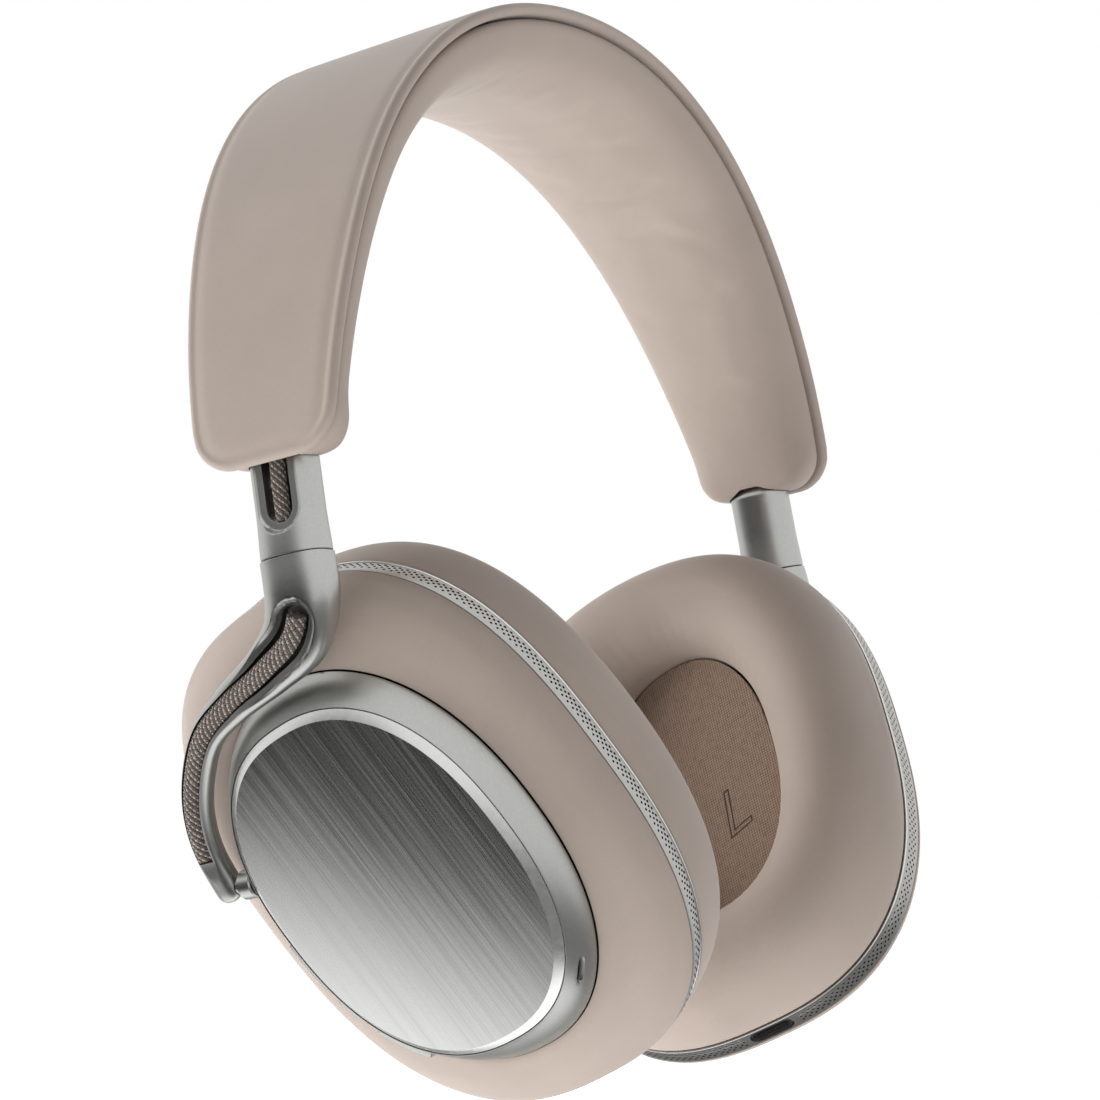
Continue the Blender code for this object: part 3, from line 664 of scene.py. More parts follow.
def woven(name, thread, gap, pitch, place):
    """Plain weave: threads cross over and under at the pitch, in the frame's plane of y and z."""
    finish = Finish(name, thread, 0.9, 0.0, place, Sheen_Weight=0.2)
    parts = finish.parts()
    turns = 2 * math.pi / (pitch * MM)
    wobble = finish.math("MULTIPLY", finish.noise(260.0, 2.0), 0.9)
    across = finish.math("SINE", finish.math("MULTIPLY_ADD", parts[1], turns, wobble))
    up = finish.math("SINE", finish.math("MULTIPLY_ADD", parts[2], turns, wobble))
    over = finish.math("MULTIPLY", across, up)
    ridge = finish.math("ABSOLUTE", over)
    shade = finish.math("MULTIPLY_ADD", finish.noise(900.0, 3.0), 0.5, ridge)
    colour = finish.ramp(shade, [(0.2, gap), (0.75, thread)])
    finish.tree.links.new(colour, finish.shader.inputs["Base Color"])
    finish.bump(ridge, 0.8, 0.0001)
    finish.bump(finish.noise(3500.0, 2.0), 0.3, 0.00005)
    return finish.material


def circuit(name):
    finish = Finish(name, (0.02, 0.12, 0.05), 0.45)
    tracks = finish.cells(420.0, "DISTANCE_TO_EDGE")
    colour = finish.ramp(tracks, [(0.04, (0.03, 0.2, 0.08)), (0.12, (0.015, 0.1, 0.04))])
    finish.tree.links.new(colour, finish.shader.inputs["Base Color"])
    finish.bump(tracks, 0.2, 0.00005)
    return finish.material


LEATHER = leather("leather", (0.40, 0.333, 0.29))
PAD_LEATHER = leather("pad_leather", (0.395, 0.325, 0.28), 0.55)
SHELL_LEATHER = leather("shell_leather", (0.385, 0.318, 0.275), 0.5)
SATIN = satin_metal("satin_metal", (0.52, 0.525, 0.505), 0.34)
RING_METAL = satin_metal("ring_metal", (0.50, 0.495, 0.475), 0.36)
POLISHED = plain_metal("polished_metal", (0.78, 0.78, 0.76), 0.24)
BRUSHED = {
    "r": brushed_metal("brushed_metal_r", (0.66, 0.66, 0.645), CUP),
    "l": brushed_metal("brushed_metal_l", (0.66, 0.66, 0.645), LEFT_CUP),
}
STEEL = plain_metal("steel", (0.5, 0.5, 0.5), 0.32)
PLASTIC = moulded("black_plastic", (0.022, 0.021, 0.02))
# Near-black for the ring's hole walls and floors, which is painted shade inside the holes, and for
# the microphone insert, whose own dark colour is deepened as painted shade of its slot.
HOLE_SHADE_AND_MIC_BLACK = moulded("hole_shade_and_mic_black", (0.003, 0.003, 0.003), 0.8, 0.05)
INK = moulded("ink", (0.035, 0.022, 0.015), 0.7)
YARNS = [
    yarn("yarn_brown", (0.085, 0.062, 0.05)),
    yarn("yarn_grey", (0.17, 0.142, 0.126)),
    yarn("yarn_light", (0.38, 0.335, 0.30)),
]
THREAD = (0.33, 0.228, 0.168)
THREAD_GAP = (0.085, 0.05, 0.035)
CLOTH = {
    "r": woven("baffle_cloth_r", THREAD, THREAD_GAP, 1.04, CUP),
    "l": woven("baffle_cloth_l", THREAD, THREAD_GAP, 1.04, LEFT_CUP),
}
BOARD = circuit("circuit_board")
CARBON = woven("carbon_cone", (0.09, 0.09, 0.1), (0.02, 0.02, 0.022), 2.4, CUP)
FOIL = plain_metal("foil", (0.45, 0.46, 0.48), 0.4)


# Pieces


def make(name, shape, place, body, finishes, stands_for=(), angle=SHARP_EDGE):
    """Makes the named piece, which rides on the body and may stand for CAD nodes."""
    mesh = shape.mesh(name, MM)
    mesh.transform(metres(place))
    mesh.shade_smooth()
    mesh.set_sharp_from_angle(angle=math.radians(angle))
    obj = bpy.data.objects.new(name, mesh)
    bpy.context.scene.collection.objects.link(obj)
    for finish in finishes:
        mesh.materials.append(finish)
    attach(obj, body)
    if stands_for:
        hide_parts(*stands_for)
    return obj


class Side:
    """One side of the headphones: right-hand shapes go on as they are, or mirrored."""

    def __init__(self, letter, sign):
        self.letter = letter
        self.sign = sign

    def named(self, name):
        return f"{name}_{self.letter}"

    def turned(self, matrix):
        mirror = Matrix.Diagonal((self.sign, 1, 1, 1))
        return mirror @ matrix @ mirror

    def make(self, name, shape, place, body, slot, finishes, stands_for=(), angle=SHARP_EDGE):
        if self.sign < 0:
            shape = shape.mirrored()
        nodes = [self.named(node) for node in stands_for]
        if body not in frame["bodies"]:
            body = self.named(body)
        return make(
            self.named(name), shape, self.turned(place), body, finishes, nodes, angle
        )


# Headband


def arch_table():
    """Points (x, z, angle) down the right half of the band's outer face."""
    steps = 800
    step = BAND_HALF_LENGTH / steps
    x = 0.0
    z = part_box("headband_cover")[1].z / MM
    angle = 0.0
    table = [(x, z, angle)]
    spans = len(BAND_TURNS) - 1
    for index in range(steps):
        share = (index + 0.5) / steps * spans
        knot = min(int(share), spans - 1)
        blend = share - knot
        turn = BAND_TURNS[knot] * (1 - blend) + BAND_TURNS[knot + 1] * blend
        half_turn = turn / steps / 2
        angle += half_turn
        x += math.cos(angle) * step
        z -= math.sin(angle) * step
        angle += half_turn
        table.append((x, z, angle))
    return table


ARCH = arch_table()


def band_point(length, y, depth):
    """A point of the band: distance from the crown, y, and depth below the outer face."""
    place = min(abs(length) / BAND_HALF_LENGTH, 1.0) * (len(ARCH) - 1)
    index = min(int(place), len(ARCH) - 2)
    blend = place - index
    x, z, angle = (a + (b - a) * blend for a, b in zip(ARCH[index], ARCH[index + 1]))
    x -= depth * math.sin(angle)
    z -= depth * math.cos(angle)
    return Vector((math.copysign(x, length), y, z))


def straight_half_width(length):
    share = length / BAND_HALF_LENGTH
    return BAND_HALF_WIDTH - BAND_TAPER * share * share


def band_half_width(length, inset=0.0):
    """Half the band's width, with its corners rounded, drawn in by the inset."""
    width = straight_half_width(length) - inset
    corner = BAND_CORNER - inset
    left = BAND_HALF_LENGTH - inset - abs(length)
    if left < corner:
        width -= corner - math.sqrt(max(corner**2 - (corner - left) ** 2, 0.0))
    return width


def edge_distance(length, y):
    """Distance from the band's outline to a point of its face."""
    side = straight_half_width(length) - abs(y)
    end = BAND_HALF_LENGTH - abs(length)
    if side < BAND_CORNER and end < BAND_CORNER:
        return BAND_CORNER - math.hypot(BAND_CORNER - side, BAND_CORNER - end)
    return min(side, end)


def band_thickness(length):
    share = length / BAND_HALF_LENGTH
    return CROWN_THICKNESS + (END_THICKNESS - CROWN_THICKNESS) * share * share


EDGE_STEPS = (0.0, 0.03, 0.12, 0.28, 0.5, 0.75, 1.0, 1.3, 1.6, 1.9, 2.25, 2.7, 3.3, 4.2, 5.2)


def symmetric(half):
    """A list of rising values and its mirror image in zero."""
    return [-value for value in reversed(half)] + [value for value in half if value > 1e-9]


def cover_top(distance):
    """Depth of the cover's outer face: a rolled bead, a crease, then the face."""
    if distance < BEAD_RADIUS:
        across = 1 - distance / BEAD_RADIUS
        return BEAD_DEPTH - (BEAD_DEPTH - 0.12) * math.sqrt(max(1 - across * across, 0.0))
    if distance < CREASE_WIDTH:
        down = smooth_step(BEAD_RADIUS, CREASE_WIDTH, distance)
        return 0.12 + (CREASE_DEPTH - 0.12) * down
    return CREASE_DEPTH * (1 - smooth_step(CREASE_WIDTH, CREASE_WIDTH + 1.9, distance))


def cover_under(distance):
    if distance < BEAD_RADIUS:
        across = 1 - distance / BEAD_RADIUS
        rest = COVER_THICKNESS - BEAD_DEPTH
        return BEAD_DEPTH + rest * math.sqrt(max(1 - across * across, 0.0))
    return COVER_THICKNESS


def headband_cover():
    """Both faces over one grid, which share the outline."""
    inner = BAND_HALF_LENGTH - EDGE_STEPS[-1]
    lengths = spread(0.0, inner, 56)
    lengths += [BAND_HALF_LENGTH - step for step in reversed(EDGE_STEPS[:-1])]
    lengths = symmetric(lengths)
    shape = Shape()
    top = []
    under = []
    for length in lengths:
        width = band_half_width(length)
        middle = spread(0.0, 1.0, 6)
        half = [(width - EDGE_STEPS[-1]) * share for share in middle]
        half += [width - step for step in reversed(EDGE_STEPS[:-1])]
        top_row = []
        under_row = []
        for y in symmetric(half):
            distance = max(edge_distance(length, y), 0.0)
            top_row.append(len(shape.points))
            shape.points.append(band_point(length, y, cover_top(distance)))
            if distance < 1e-6:
                under_row.append(top_row[-1])
                continue
            under_row.append(len(shape.points))
            shape.points.append(band_point(length, y, cover_under(distance)))
        top.append(top_row)
        under.append(under_row)
    for rows in (top, under):
        for row, after in zip(rows, rows[1:]):
            for index in range(len(row) - 1):
                corners = (row[index], row[index + 1], after[index + 1], after[index])
                shape.face(corners)
    return shape


PAD_END_STEPS = (0.0, 0.004, 0.02, 0.06, 0.14, 0.3, 0.6, 1.0, 1.6, 2.4, 3.4, 4.6, 6.0, 8.0)
PAD_END_ROUND = 2.4
PAD_REACH = BAND_HALF_LENGTH - PAD_INSET
PAD_ARC = 32
PAD_SHRINK = 0.7
PAD_PRESSURE = 25.0
PAD_MOST_MOVE = 0.8
PAD_STIFFNESS = 15.0
PAD_BENDING = 1.0
PAD_HELD_END = 1.2


def pad_stations():
    """Distances from the crown of the pad's sections, closer together at its ends."""
    lengths = spread(0.0, PAD_REACH - PAD_END_STEPS[-1], 62)
    lengths += [PAD_REACH - step for step in reversed(PAD_END_STEPS[:-1])]
    return symmetric(lengths)


def pad_rings(shrink):
    """Sections of the pad's pillow, flat on the cover's side, drawn in by shrink."""
    top = COVER_THICKNESS + PAD_GAP
    rings = []
    for length in pad_stations():
        left = PAD_REACH - abs(length)
        width = band_half_width(length, PAD_INSET) - shrink * 0.5
        height = band_thickness(length) - top - shrink
        ends = max(1 - min(left, PAD_END_ROUND) / PAD_END_ROUND, 0.0) ** 2.5
        height *= max(1 - ends, 1e-4) ** 0.4
        power = 4.6 - 1.7 * smooth_step(-2.0, 12.0, left)
        ring = []
        for index in range(PAD_ARC + 1):
            angle = math.pi * index / PAD_ARC
            y = width * signed_power(math.cos(angle), 2 / power)
            rise = height * abs(math.sin(angle)) ** (2 / power)
            ring.append(band_point(length, y, top + rise))
        for share in spread(-0.85, 0.85, 10):
            ring.append(band_point(length, width * share, top))
        rings.append(ring)
    return rings


def channel_cutter():
    """The channel for the spring band and blades, along the pad's upper side."""
    rings = []
    for length in symmetric(spread(0.0, BAND_HALF_LENGTH + 2.0, 60)):
        left = BAND_HALF_LENGTH - abs(length)
        deep = smooth_step(40, 33, left)
        floor = CHANNEL_SHALLOW + (CHANNEL_DEEP - CHANNEL_SHALLOW) * deep
        wide = smooth_step(3.0, 6.0, left)
        half = CHANNEL_END_WIDTH + (CHANNEL_SLEEVE_WIDTH - CHANNEL_END_WIDTH) * wide
        ring = []
        for y, depth in ((-half, 1.0), (half, 1.0), (half, floor), (-half, floor)):
            ring.append(band_point(length, y, depth))
        rings.append(ring)
    rings[0] = [point + (rings[0][i] - rings[1][i]) for i, point in enumerate(rings[0])]
    rings[-1] = [point + (rings[-1][i] - rings[-2][i]) for i, point in enumerate(rings[-1])]
    return Shape().rings(rings)


def mouth_cutter():
    """The rounded mouth in the pad's end, where the stem goes in."""
    rings = []
    for z, extra in ((-6.0, 0.4), (-0.6, 0.4), (0.3, 0.22), (1.2, 0.2), (2.5, 0.2)):
        rings.append(stem_ring(0.0, STEM_HALF_DEPTH + extra, STEM_HALF_WIDTH + extra, z))
    return Shape().rings(rings).moved(STEM)


CLOTH_FRAMES = 20


def inflated(shape, held, pressure, cap, stiffness, bending):
    """The shape after a cloth simulation with air pressure inside and the held points fixed.

    No point moves further than the cap, in millimetres.
    """
    obj = helper_object(shape, MM)
    rest = [vertex.co.copy() for vertex in obj.data.vertices]
    group = obj.vertex_groups.new(name="held")
    group.add([index for index, fixed in enumerate(held) if fixed], 1.0, "REPLACE")
    modifier = obj.modifiers.new("cloth", "CLOTH")
    settings = modifier.settings
    settings.quality = 8
    settings.mass = 0.15
    settings.tension_stiffness = stiffness
    settings.compression_stiffness = stiffness
    settings.shear_stiffness = stiffness / 2
    settings.bending_stiffness = bending
    settings.use_pressure = True
    settings.uniform_pressure_force = pressure
    settings.vertex_group_mass = "held"
    settings.effector_weights.gravity = 0.0
    modifier.collision_settings.use_collision = False
    scene = bpy.context.scene
    for step in range(1, CLOTH_FRAMES + 1):
        scene.frame_set(step)
    graph = bpy.context.evaluated_depsgraph_get()
    settled = obj.evaluated_get(graph).to_mesh()
    result = Shape()
    result.faces = list(shape.faces)
    result.slots = list(shape.slots)
    limit = cap * MM
    for start, vertex in zip(rest, settled.vertices):
        shift = vertex.co - start
        if shift.length > limit:
            shift *= limit / shift.length
        result.points.append((start + shift) / MM)
    scene.frame_set(1)
    drop_object(obj)
    return result


def subdivided(shape):
    obj = helper_object(shape)
    modifier = obj.modifiers.new("smooth", "SUBSURF")
    modifier.levels = 1
    graph = bpy.context.evaluated_depsgraph_get()
    result = shape_of(obj.evaluated_get(graph).to_mesh())
    drop_object(obj)
    return result


def headband_pad():
    """The pad, blown up by the cloth simulation with its glued side and ends held."""
    rings = pad_rings(PAD_SHRINK)
    held = []
    for length in pad_stations():
        near_end = PAD_REACH - abs(length) < PAD_HELD_END
        for index in range(len(rings[0])):
            glued = index < 2 or index > PAD_ARC - 2
            held.append(glued or near_end)
    shape = Shape().rings(rings)
    shape = inflated(
        shape, held, PAD_PRESSURE, PAD_MOST_MOVE, PAD_STIFFNESS, PAD_BENDING
    )
    shape = subdivided(shape)
    cutters = [channel_cutter(), mouth_cutter(), mouth_cutter().mirrored()]
    return carved(shape, cutters)


def build_headband():
    make(
        "band_cover", headband_cover(), BAND, "headband", [LEATHER],
        ["headband_cover"], 60,
    )
    make(
        "band_pad", headband_pad(), BAND, "headband", [PAD_LEATHER],
        ["headband_pad"], 50,
    )


# Stems


def stem_ring(x, half_depth, half_width, z, power=2.4, count=72):
    ring = []
    for index in range(count):
        angle = 2 * math.pi * index / count
        across = half_depth * signed_power(math.cos(angle), 2 / power)
        y = half_width * signed_power(math.sin(angle), 2 / power)
        ring.append(Vector((x + across, y, z)))
    return ring


def slot_cutter():
    """A U-shaped block that cuts the cable's slot into the stem's outer face."""
    top = 4.0
    half_width = SLOT_HALF_WIDTH
    outline = [(-half_width, top)]
    for index in range(33):
        angle = math.pi * (1 + index / 32)
        z = half_width - SLOT_LENGTH + half_width * math.sin(angle)
        outline.append((half_width * math.cos(angle), z))
    outline.append((half_width, top))
    rings = [[Vector((x, y, z)) for y, z in outline] for x in (SLOT_FLOOR, CLEAR_OF_STEM)]
    return Shape().rings(rings)


def stem_lip(ring):
    """Steps the outer face down to a flat lip round the cable's slot."""
    middle = SLOT_HALF_WIDTH - SLOT_LENGTH
    face = STEM_HALF_DEPTH - LIP_STEP
    for point in ring:
        away = math.hypot(point.y, min(point.z - middle, 0.0)) / LIP_HALF_WIDTH
        if point.x > face:
            point.x += (face - point.x) * smooth_step(1.07, 0.93, away)
    return ring


def stem():
    """The full section, cut by the cable's slot and with a flat lip round it."""
    seam = -STEM_LENGTH + SWIVEL_GAP / 2
    flare = 0.2
    edge = 0.12
    depth = STEM_HALF_DEPTH + flare - edge
    rings = [stem_ring(0, depth, STEM_HALF_WIDTH + flare - edge, seam, count=SECTION_POINTS)]
    for z in spread(seam + edge, STEM_ENTRY, 90):
        grow = flare * smooth_step(-STEM_LENGTH / 2, seam, z)
        ring = stem_ring(0, STEM_HALF_DEPTH + grow, STEM_HALF_WIDTH + grow, z, count=SECTION_POINTS)
        rings.append(stem_lip(ring))
    for rise, shrink in ((0.7, 0.25), (1.3, 0.9)):
        size = (STEM_HALF_DEPTH - shrink, STEM_HALF_WIDTH - shrink)
        ring = stem_ring(0, *size, STEM_ENTRY + rise, count=SECTION_POINTS)
        rings.append(stem_lip(ring))
    bore = rod(
        SWIVEL_PIN_RADIUS + 0.1,
        (0, 0, -STEM_LENGTH - 1),
        (0, 0, -STEM_LENGTH + SWIVEL_PIN_REACH),
    )
    return carved(Shape().rings(rings), [slot_cutter(), bore], bevel=0.16)


def blade():
    rings = []
    for z, trim in ((-3.0, 0.0), (BLADE_LENGTH - 0.5, 0.0), (BLADE_LENGTH, 0.4)):
        half_width = BLADE_HALF_WIDTH - trim
        thick = BLADE_HALF_THICKNESS - trim * 0.5
        rings.append(stem_ring(BLADE_OFFSET, thick, half_width, z, 6, 48))
    return Shape().rings(rings)


def stem_cable_path():
    bend = STEM.inverted() @ SLIDE
    lift = 0.15
    radius = STEM_CABLE_RADIUS
    x = BLADE_OFFSET + BLADE_HALF_THICKNESS + lift + radius
    in_slot = SLOT_FLOOR + lift + radius
    points = [
        Vector((in_slot, 0, 0.45 - SLOT_LENGTH)),
        Vector((in_slot, 0, -6.0)),
        Vector((in_slot, 0, -2.5)),
        bend @ Vector((x, 0, 1.5)),
        bend @ Vector((x, 0, 7.0)),
        bend @ Vector((x, 0, STEM_CABLE_TOP)),
    ]
    return [catmull(points, place) for place in spread(0, len(points) - 1.0001, 60)]


def braid(path, radius, strands, outward):
    """A braided sleeve round a path: strands wind both ways, over and under each other."""
    count = len(path)
    tangents = []
    for index in range(count):
        step = path[min(index + 1, count - 1)] - path[max(index - 1, 0)]
        tangents.append(step.normalized())
    lengths = [0.0]
    for one, two in zip(path, path[1:]):
        lengths.append(lengths[-1] + (two - one).length)
    total = lengths[-1]
    turn_length = 2 * math.pi * radius * 0.95
    crossings = total / turn_length * strands * 2
    samples = int(crossings * 2)
    frames = []
    at = 0
    for index in range(samples + 1):
        goal = total * index / samples
        while at < count - 2 and lengths[at + 1] < goal:
            at += 1
        share = (goal - lengths[at]) / (lengths[at + 1] - lengths[at])
        centre = path[at].lerp(path[at + 1], share)
        along = tangents[at].lerp(tangents[at + 1], share).normalized()
        out = outward[at].lerp(outward[at + 1], share)
        out = (out - along * out.dot(along)).normalized()
        frames.append((centre, out, along.cross(out), along, goal / turn_length * 2 * math.pi))
    shape = Shape()
    core = []
    for centre, out, side, _, _ in frames[::4] + [frames[-1]]:
        ring = []
        for index in range(12):
            angle = 2 * math.pi * index / 12
            spoke = out * math.cos(angle) + side * math.sin(angle)
            ring.append(centre + spoke * (radius * 0.72))
        core.append(ring)
    shape.rings(core, slots=[0] * len(core))
    half = math.pi * radius / strands * 0.62
    thick = radius * 0.10
    wave = radius * 0.09
    for way in (1, -1):
        for strand in range(strands):
            start = 2 * math.pi * strand / strands
            slot = 0 if strand % 2 else (1 if way > 0 else 2)
            rings = []
            for centre, out, side, along, turn in frames:
                angle = start + way * turn
                phase = strands * turn + (0.0 if way > 0 else math.pi)
                spoke = out * math.cos(angle) + side * math.sin(angle)
                round_way = (side * math.cos(angle) - out * math.sin(angle)) * way
                across = (along - round_way).normalized()
                height = radius * 0.87 + wave * math.cos(phase)
                middle = centre + spoke * height
                ring = []
                for a, b in ((-1, -0.5), (-0.55, 1), (0.55, 1), (1, -0.5)):
                    ring.append(middle + across * (half * a) + spoke * (thick * b))
                rings.append(ring)
            shape.rings(rings, slots=[slot] * len(rings))
    return shape


def stem_cable():
    path = stem_cable_path()
    return braid(path, STEM_CABLE_RADIUS, 12, [Vector((1, 0, 0))] * len(path))


def build_stem(side):
    side.make("stem_body", stem(), STEM, "stem", "satin_metal", [SATIN], ["stem"], 30)
    side.make("slide_blade", blade(), SLIDE, "stem", "satin_metal", [STEEL])
    side.make("stem_braid", stem_cable(), STEM, "stem", "cable_cloth", YARNS, ["stem_cable"])


# Yoke arms


def arm_stations():
    """Centre, outward direction, half width and half thickness down the arm.

    The first two stations lie on the swivel axis. The rest are in the cup frame: the arm
    passes over the cup's top edge, turns to the rear and follows the pod to the pivot.
    """
    to_cup = CUP.inverted() @ SWIVEL
    outward = (to_cup.to_3x3() @ Vector((1, 0, 0))).normalized()
    lean_out = (outward + Vector((1.5, 0, 0))).normalized()
    straight = Vector((1, 0, 0))
    return [
        (to_cup @ Vector((0, 0, -SWIVEL_GAP / 2)), outward, 6.1, 4.1),
        (to_cup @ Vector((0, 0, -6.5)), outward, 6.2, 4.0),
        (Vector((12.3, 13.8, 41.3)), lean_out, 5.6, 3.5),
        (Vector((12.6, 5.6, 39.3)), straight, 4.3, 2.7),
        (Vector((12.3, -4.6, 38.1)), straight, 3.4, 2.3),
        (Vector((12.0, -13.4, 36.1)), straight, 2.8, 2.1),
        (Vector((11.5, -20.9, 31.6)), straight, 2.7, 2.0),
        (Vector((11.2, -26.7, 25.9)), straight, 2.6, 2.0),
        (Vector((11.0, -30.3, 19.2)), straight, 2.5, 2.0),
        (Vector((11.0, -31.8, 10.7)), straight, 2.4, 2.0),
    ]


STATIONS = arm_stations()


def arm_at(position):
    """Centre, side and outward directions, half width and half thickness of the arm."""
    centres, outwards, widths, thicknesses = zip(*STATIONS)
    centre = catmull(centres, position)
    near = 0.02
    last = len(STATIONS) - 1
    ahead = catmull(centres, min(position + near, last))
    behind = catmull(centres, max(position - near, 0))
    tangent = (ahead - behind).normalized()
    outward = catmull(outwards, position)
    outward = (outward - tangent * outward.dot(tangent)).normalized()
    side = tangent.cross(outward)
    return centre, side, outward, catmull(widths, position), catmull(thicknesses, position)


def lip_share(position, across):
    """How far a point of the outer face belongs to the flat lip round the groove."""
    lead = max(GROOVE_START + 0.42 - position, 0.0) * STATION_PITCH
    from_middle = across - groove_shift(max(position, GROOVE_START))
    half = groove_half_width(position) + LIP_MARGIN
    away = math.hypot(from_middle, lead) / half
    return smooth_step(1.08, 0.92, away)


def arm_ring(position, shrink, thin):
    centre, side, outward, width, thick = arm_at(position)
    thick *= thin
    step = LIP_STEP * (1 - 0.75 * smooth_step(2.4, 4.0, position))
    step *= 1 - smooth_step(GROOVE_END, GROOVE_END + 0.4, position)
    face = thick - step
    ring = []
    for index in range(SECTION_POINTS):
        angle = 2 * math.pi * index / SECTION_POINTS
        across = width * shrink * signed_power(math.cos(angle), 2 / ARM_POWER)
        up = thick * signed_power(math.sin(angle), 2 / ARM_POWER)
        if up > face:
            up += (face - up) * lip_share(position, across)
        ring.append(centre + side * across + outward * up)
    return ring


def groove_half_width(position):
    """The groove is wide at its upper end and closes in on the cable further down."""
    lower = smooth_step(GROOVE_START + 0.3, 4.2, position)
    return GROOVE_TOP_HALF_WIDTH + (GROOVE_HALF_WIDTH - GROOVE_TOP_HALF_WIDTH) * lower


def groove_shift(position):
    lower = smooth_step(GROOVE_START, 3.0, position)
    return GROOVE_TOP_SHIFT + (GROOVE_SHIFT - GROOVE_TOP_SHIFT) * lower


def cable_groove():
    rings = []
    spans = []
    for index in range(9):
        angle = math.pi / 2 * index / 8
        spans.append((GROOVE_START + 0.22 * (1 - math.cos(angle)), math.sin(angle) * 0.98 + 0.02))
    spans += [(p, 1.0) for p in spread(GROOVE_START + 0.3, GROOVE_END, 80)]
    for position, share in spans:
        centre, side, outward, _, thick = arm_at(position)
        middle = centre + side * groove_shift(position)
        half = groove_half_width(position) * share
        low = thick - GROOVE_DEPTH
        ring = [middle + side * -half + outward * (thick + 3.0)]
        for index in range(13):
            angle = math.pi * (1 + index / 12)
            a = half * signed_power(math.cos(angle), 0.6)
            b = GROOVE_ROUND * signed_power(math.sin(angle), 0.6)
            ring.append(middle + side * a + outward * (low + GROOVE_ROUND + b))
        ring.append(middle + side * half + outward * (thick + 3.0))
        rings.append(ring)
    return Shape().rings(rings)


def yoke_arm():
    last = len(STATIONS) - 1
    edge = 0.012
    rings = [arm_ring(0.0, 0.975, 0.97), arm_ring(edge, 1.0, 1.0)]
    rings += [arm_ring(position, 1.0, 1.0) for position in spread(0.06, last - 0.3, 260)]
    for index in range(1, 11):
        share = index / 10
        shrink = math.sqrt(max(1 - (share * 0.9) ** 2, 0.0))
        rings.append(arm_ring(last - 0.3 + 0.3 * share, shrink, 0.5 + 0.5 * shrink))
    to_cup = CUP.inverted() @ SWIVEL
    bore = rod(
        SWIVEL_PIN_RADIUS + 0.1,
        to_cup @ Vector((0, 0, 1)),
        to_cup @ Vector((0, 0, -SWIVEL_PIN_REACH)),
    )
    pin_bore = rod(PIVOT_PIN_RADIUS + 0.1, pivot_at(1.0), pivot_at(6.0))
    return carved(Shape().rings(rings), [cable_groove(), bore, pin_bore], bevel=0.14)


def yoke_cable():
    path = []
    outwards = []
    lift = 0.15
    for position in spread(GROOVE_START + 0.24, GROOVE_END - 0.06, 240):
        centre, side, outward, _, thick = arm_at(position)
        height = thick - GROOVE_DEPTH + lift + CABLE_RADIUS
        path.append(centre + side * groove_shift(position) + outward * height)
        outwards.append(outward)
    return braid(path, CABLE_RADIUS, 14, outwards)


def pivot_pin():
    pin = rod(PIVOT_PIN_RADIUS, pivot_at(1.3), pivot_at(PIVOT_PIN_END))
    boss = rod(BOSS_RADIUS, pivot_at(BOSS_START), pivot_at(BOSS_END), chamfer=0.25)
    return carved(pin, [boss], "UNION")


def build_yoke(side):
    side.make("yoke_body", yoke_arm(), CUP, "yoke", "satin_metal", [SATIN], ["yoke_arm"], 30)
    side.make("yoke_braid", yoke_cable(), CUP, "yoke", "cable_cloth", YARNS, ["yoke_cable"])
    side.make("tilt_pin", pivot_pin(), CUP, "yoke", "satin_metal", [SATIN], ["pivot_pin"])


# Cups


def port_pill(margin, low, high, round_by=0.0):
    """A pill across the lower end of the cup, for the port and its opening."""
    rings = []
    stations = [(low, 0.0), (high, 0.0)]
    if round_by:
        stations = [(low, -round_by), (low + round_by, 0.0), (high, 0.0)]
    for z, extra in stations:
        ring = []
        for index in range(48):
            angle = 2 * math.pi * (index + 0.5) / 48
            size = PORT_RADIUS + margin + extra
            x = size * math.sin(angle)
            y = size * math.cos(angle) + math.copysign(PORT_STRAIGHT, math.cos(angle))
            ring.append(Vector((x + PORT_X, y + PORT_Y, z)))
        rings.append(ring)
    return Shape().rings(rings)


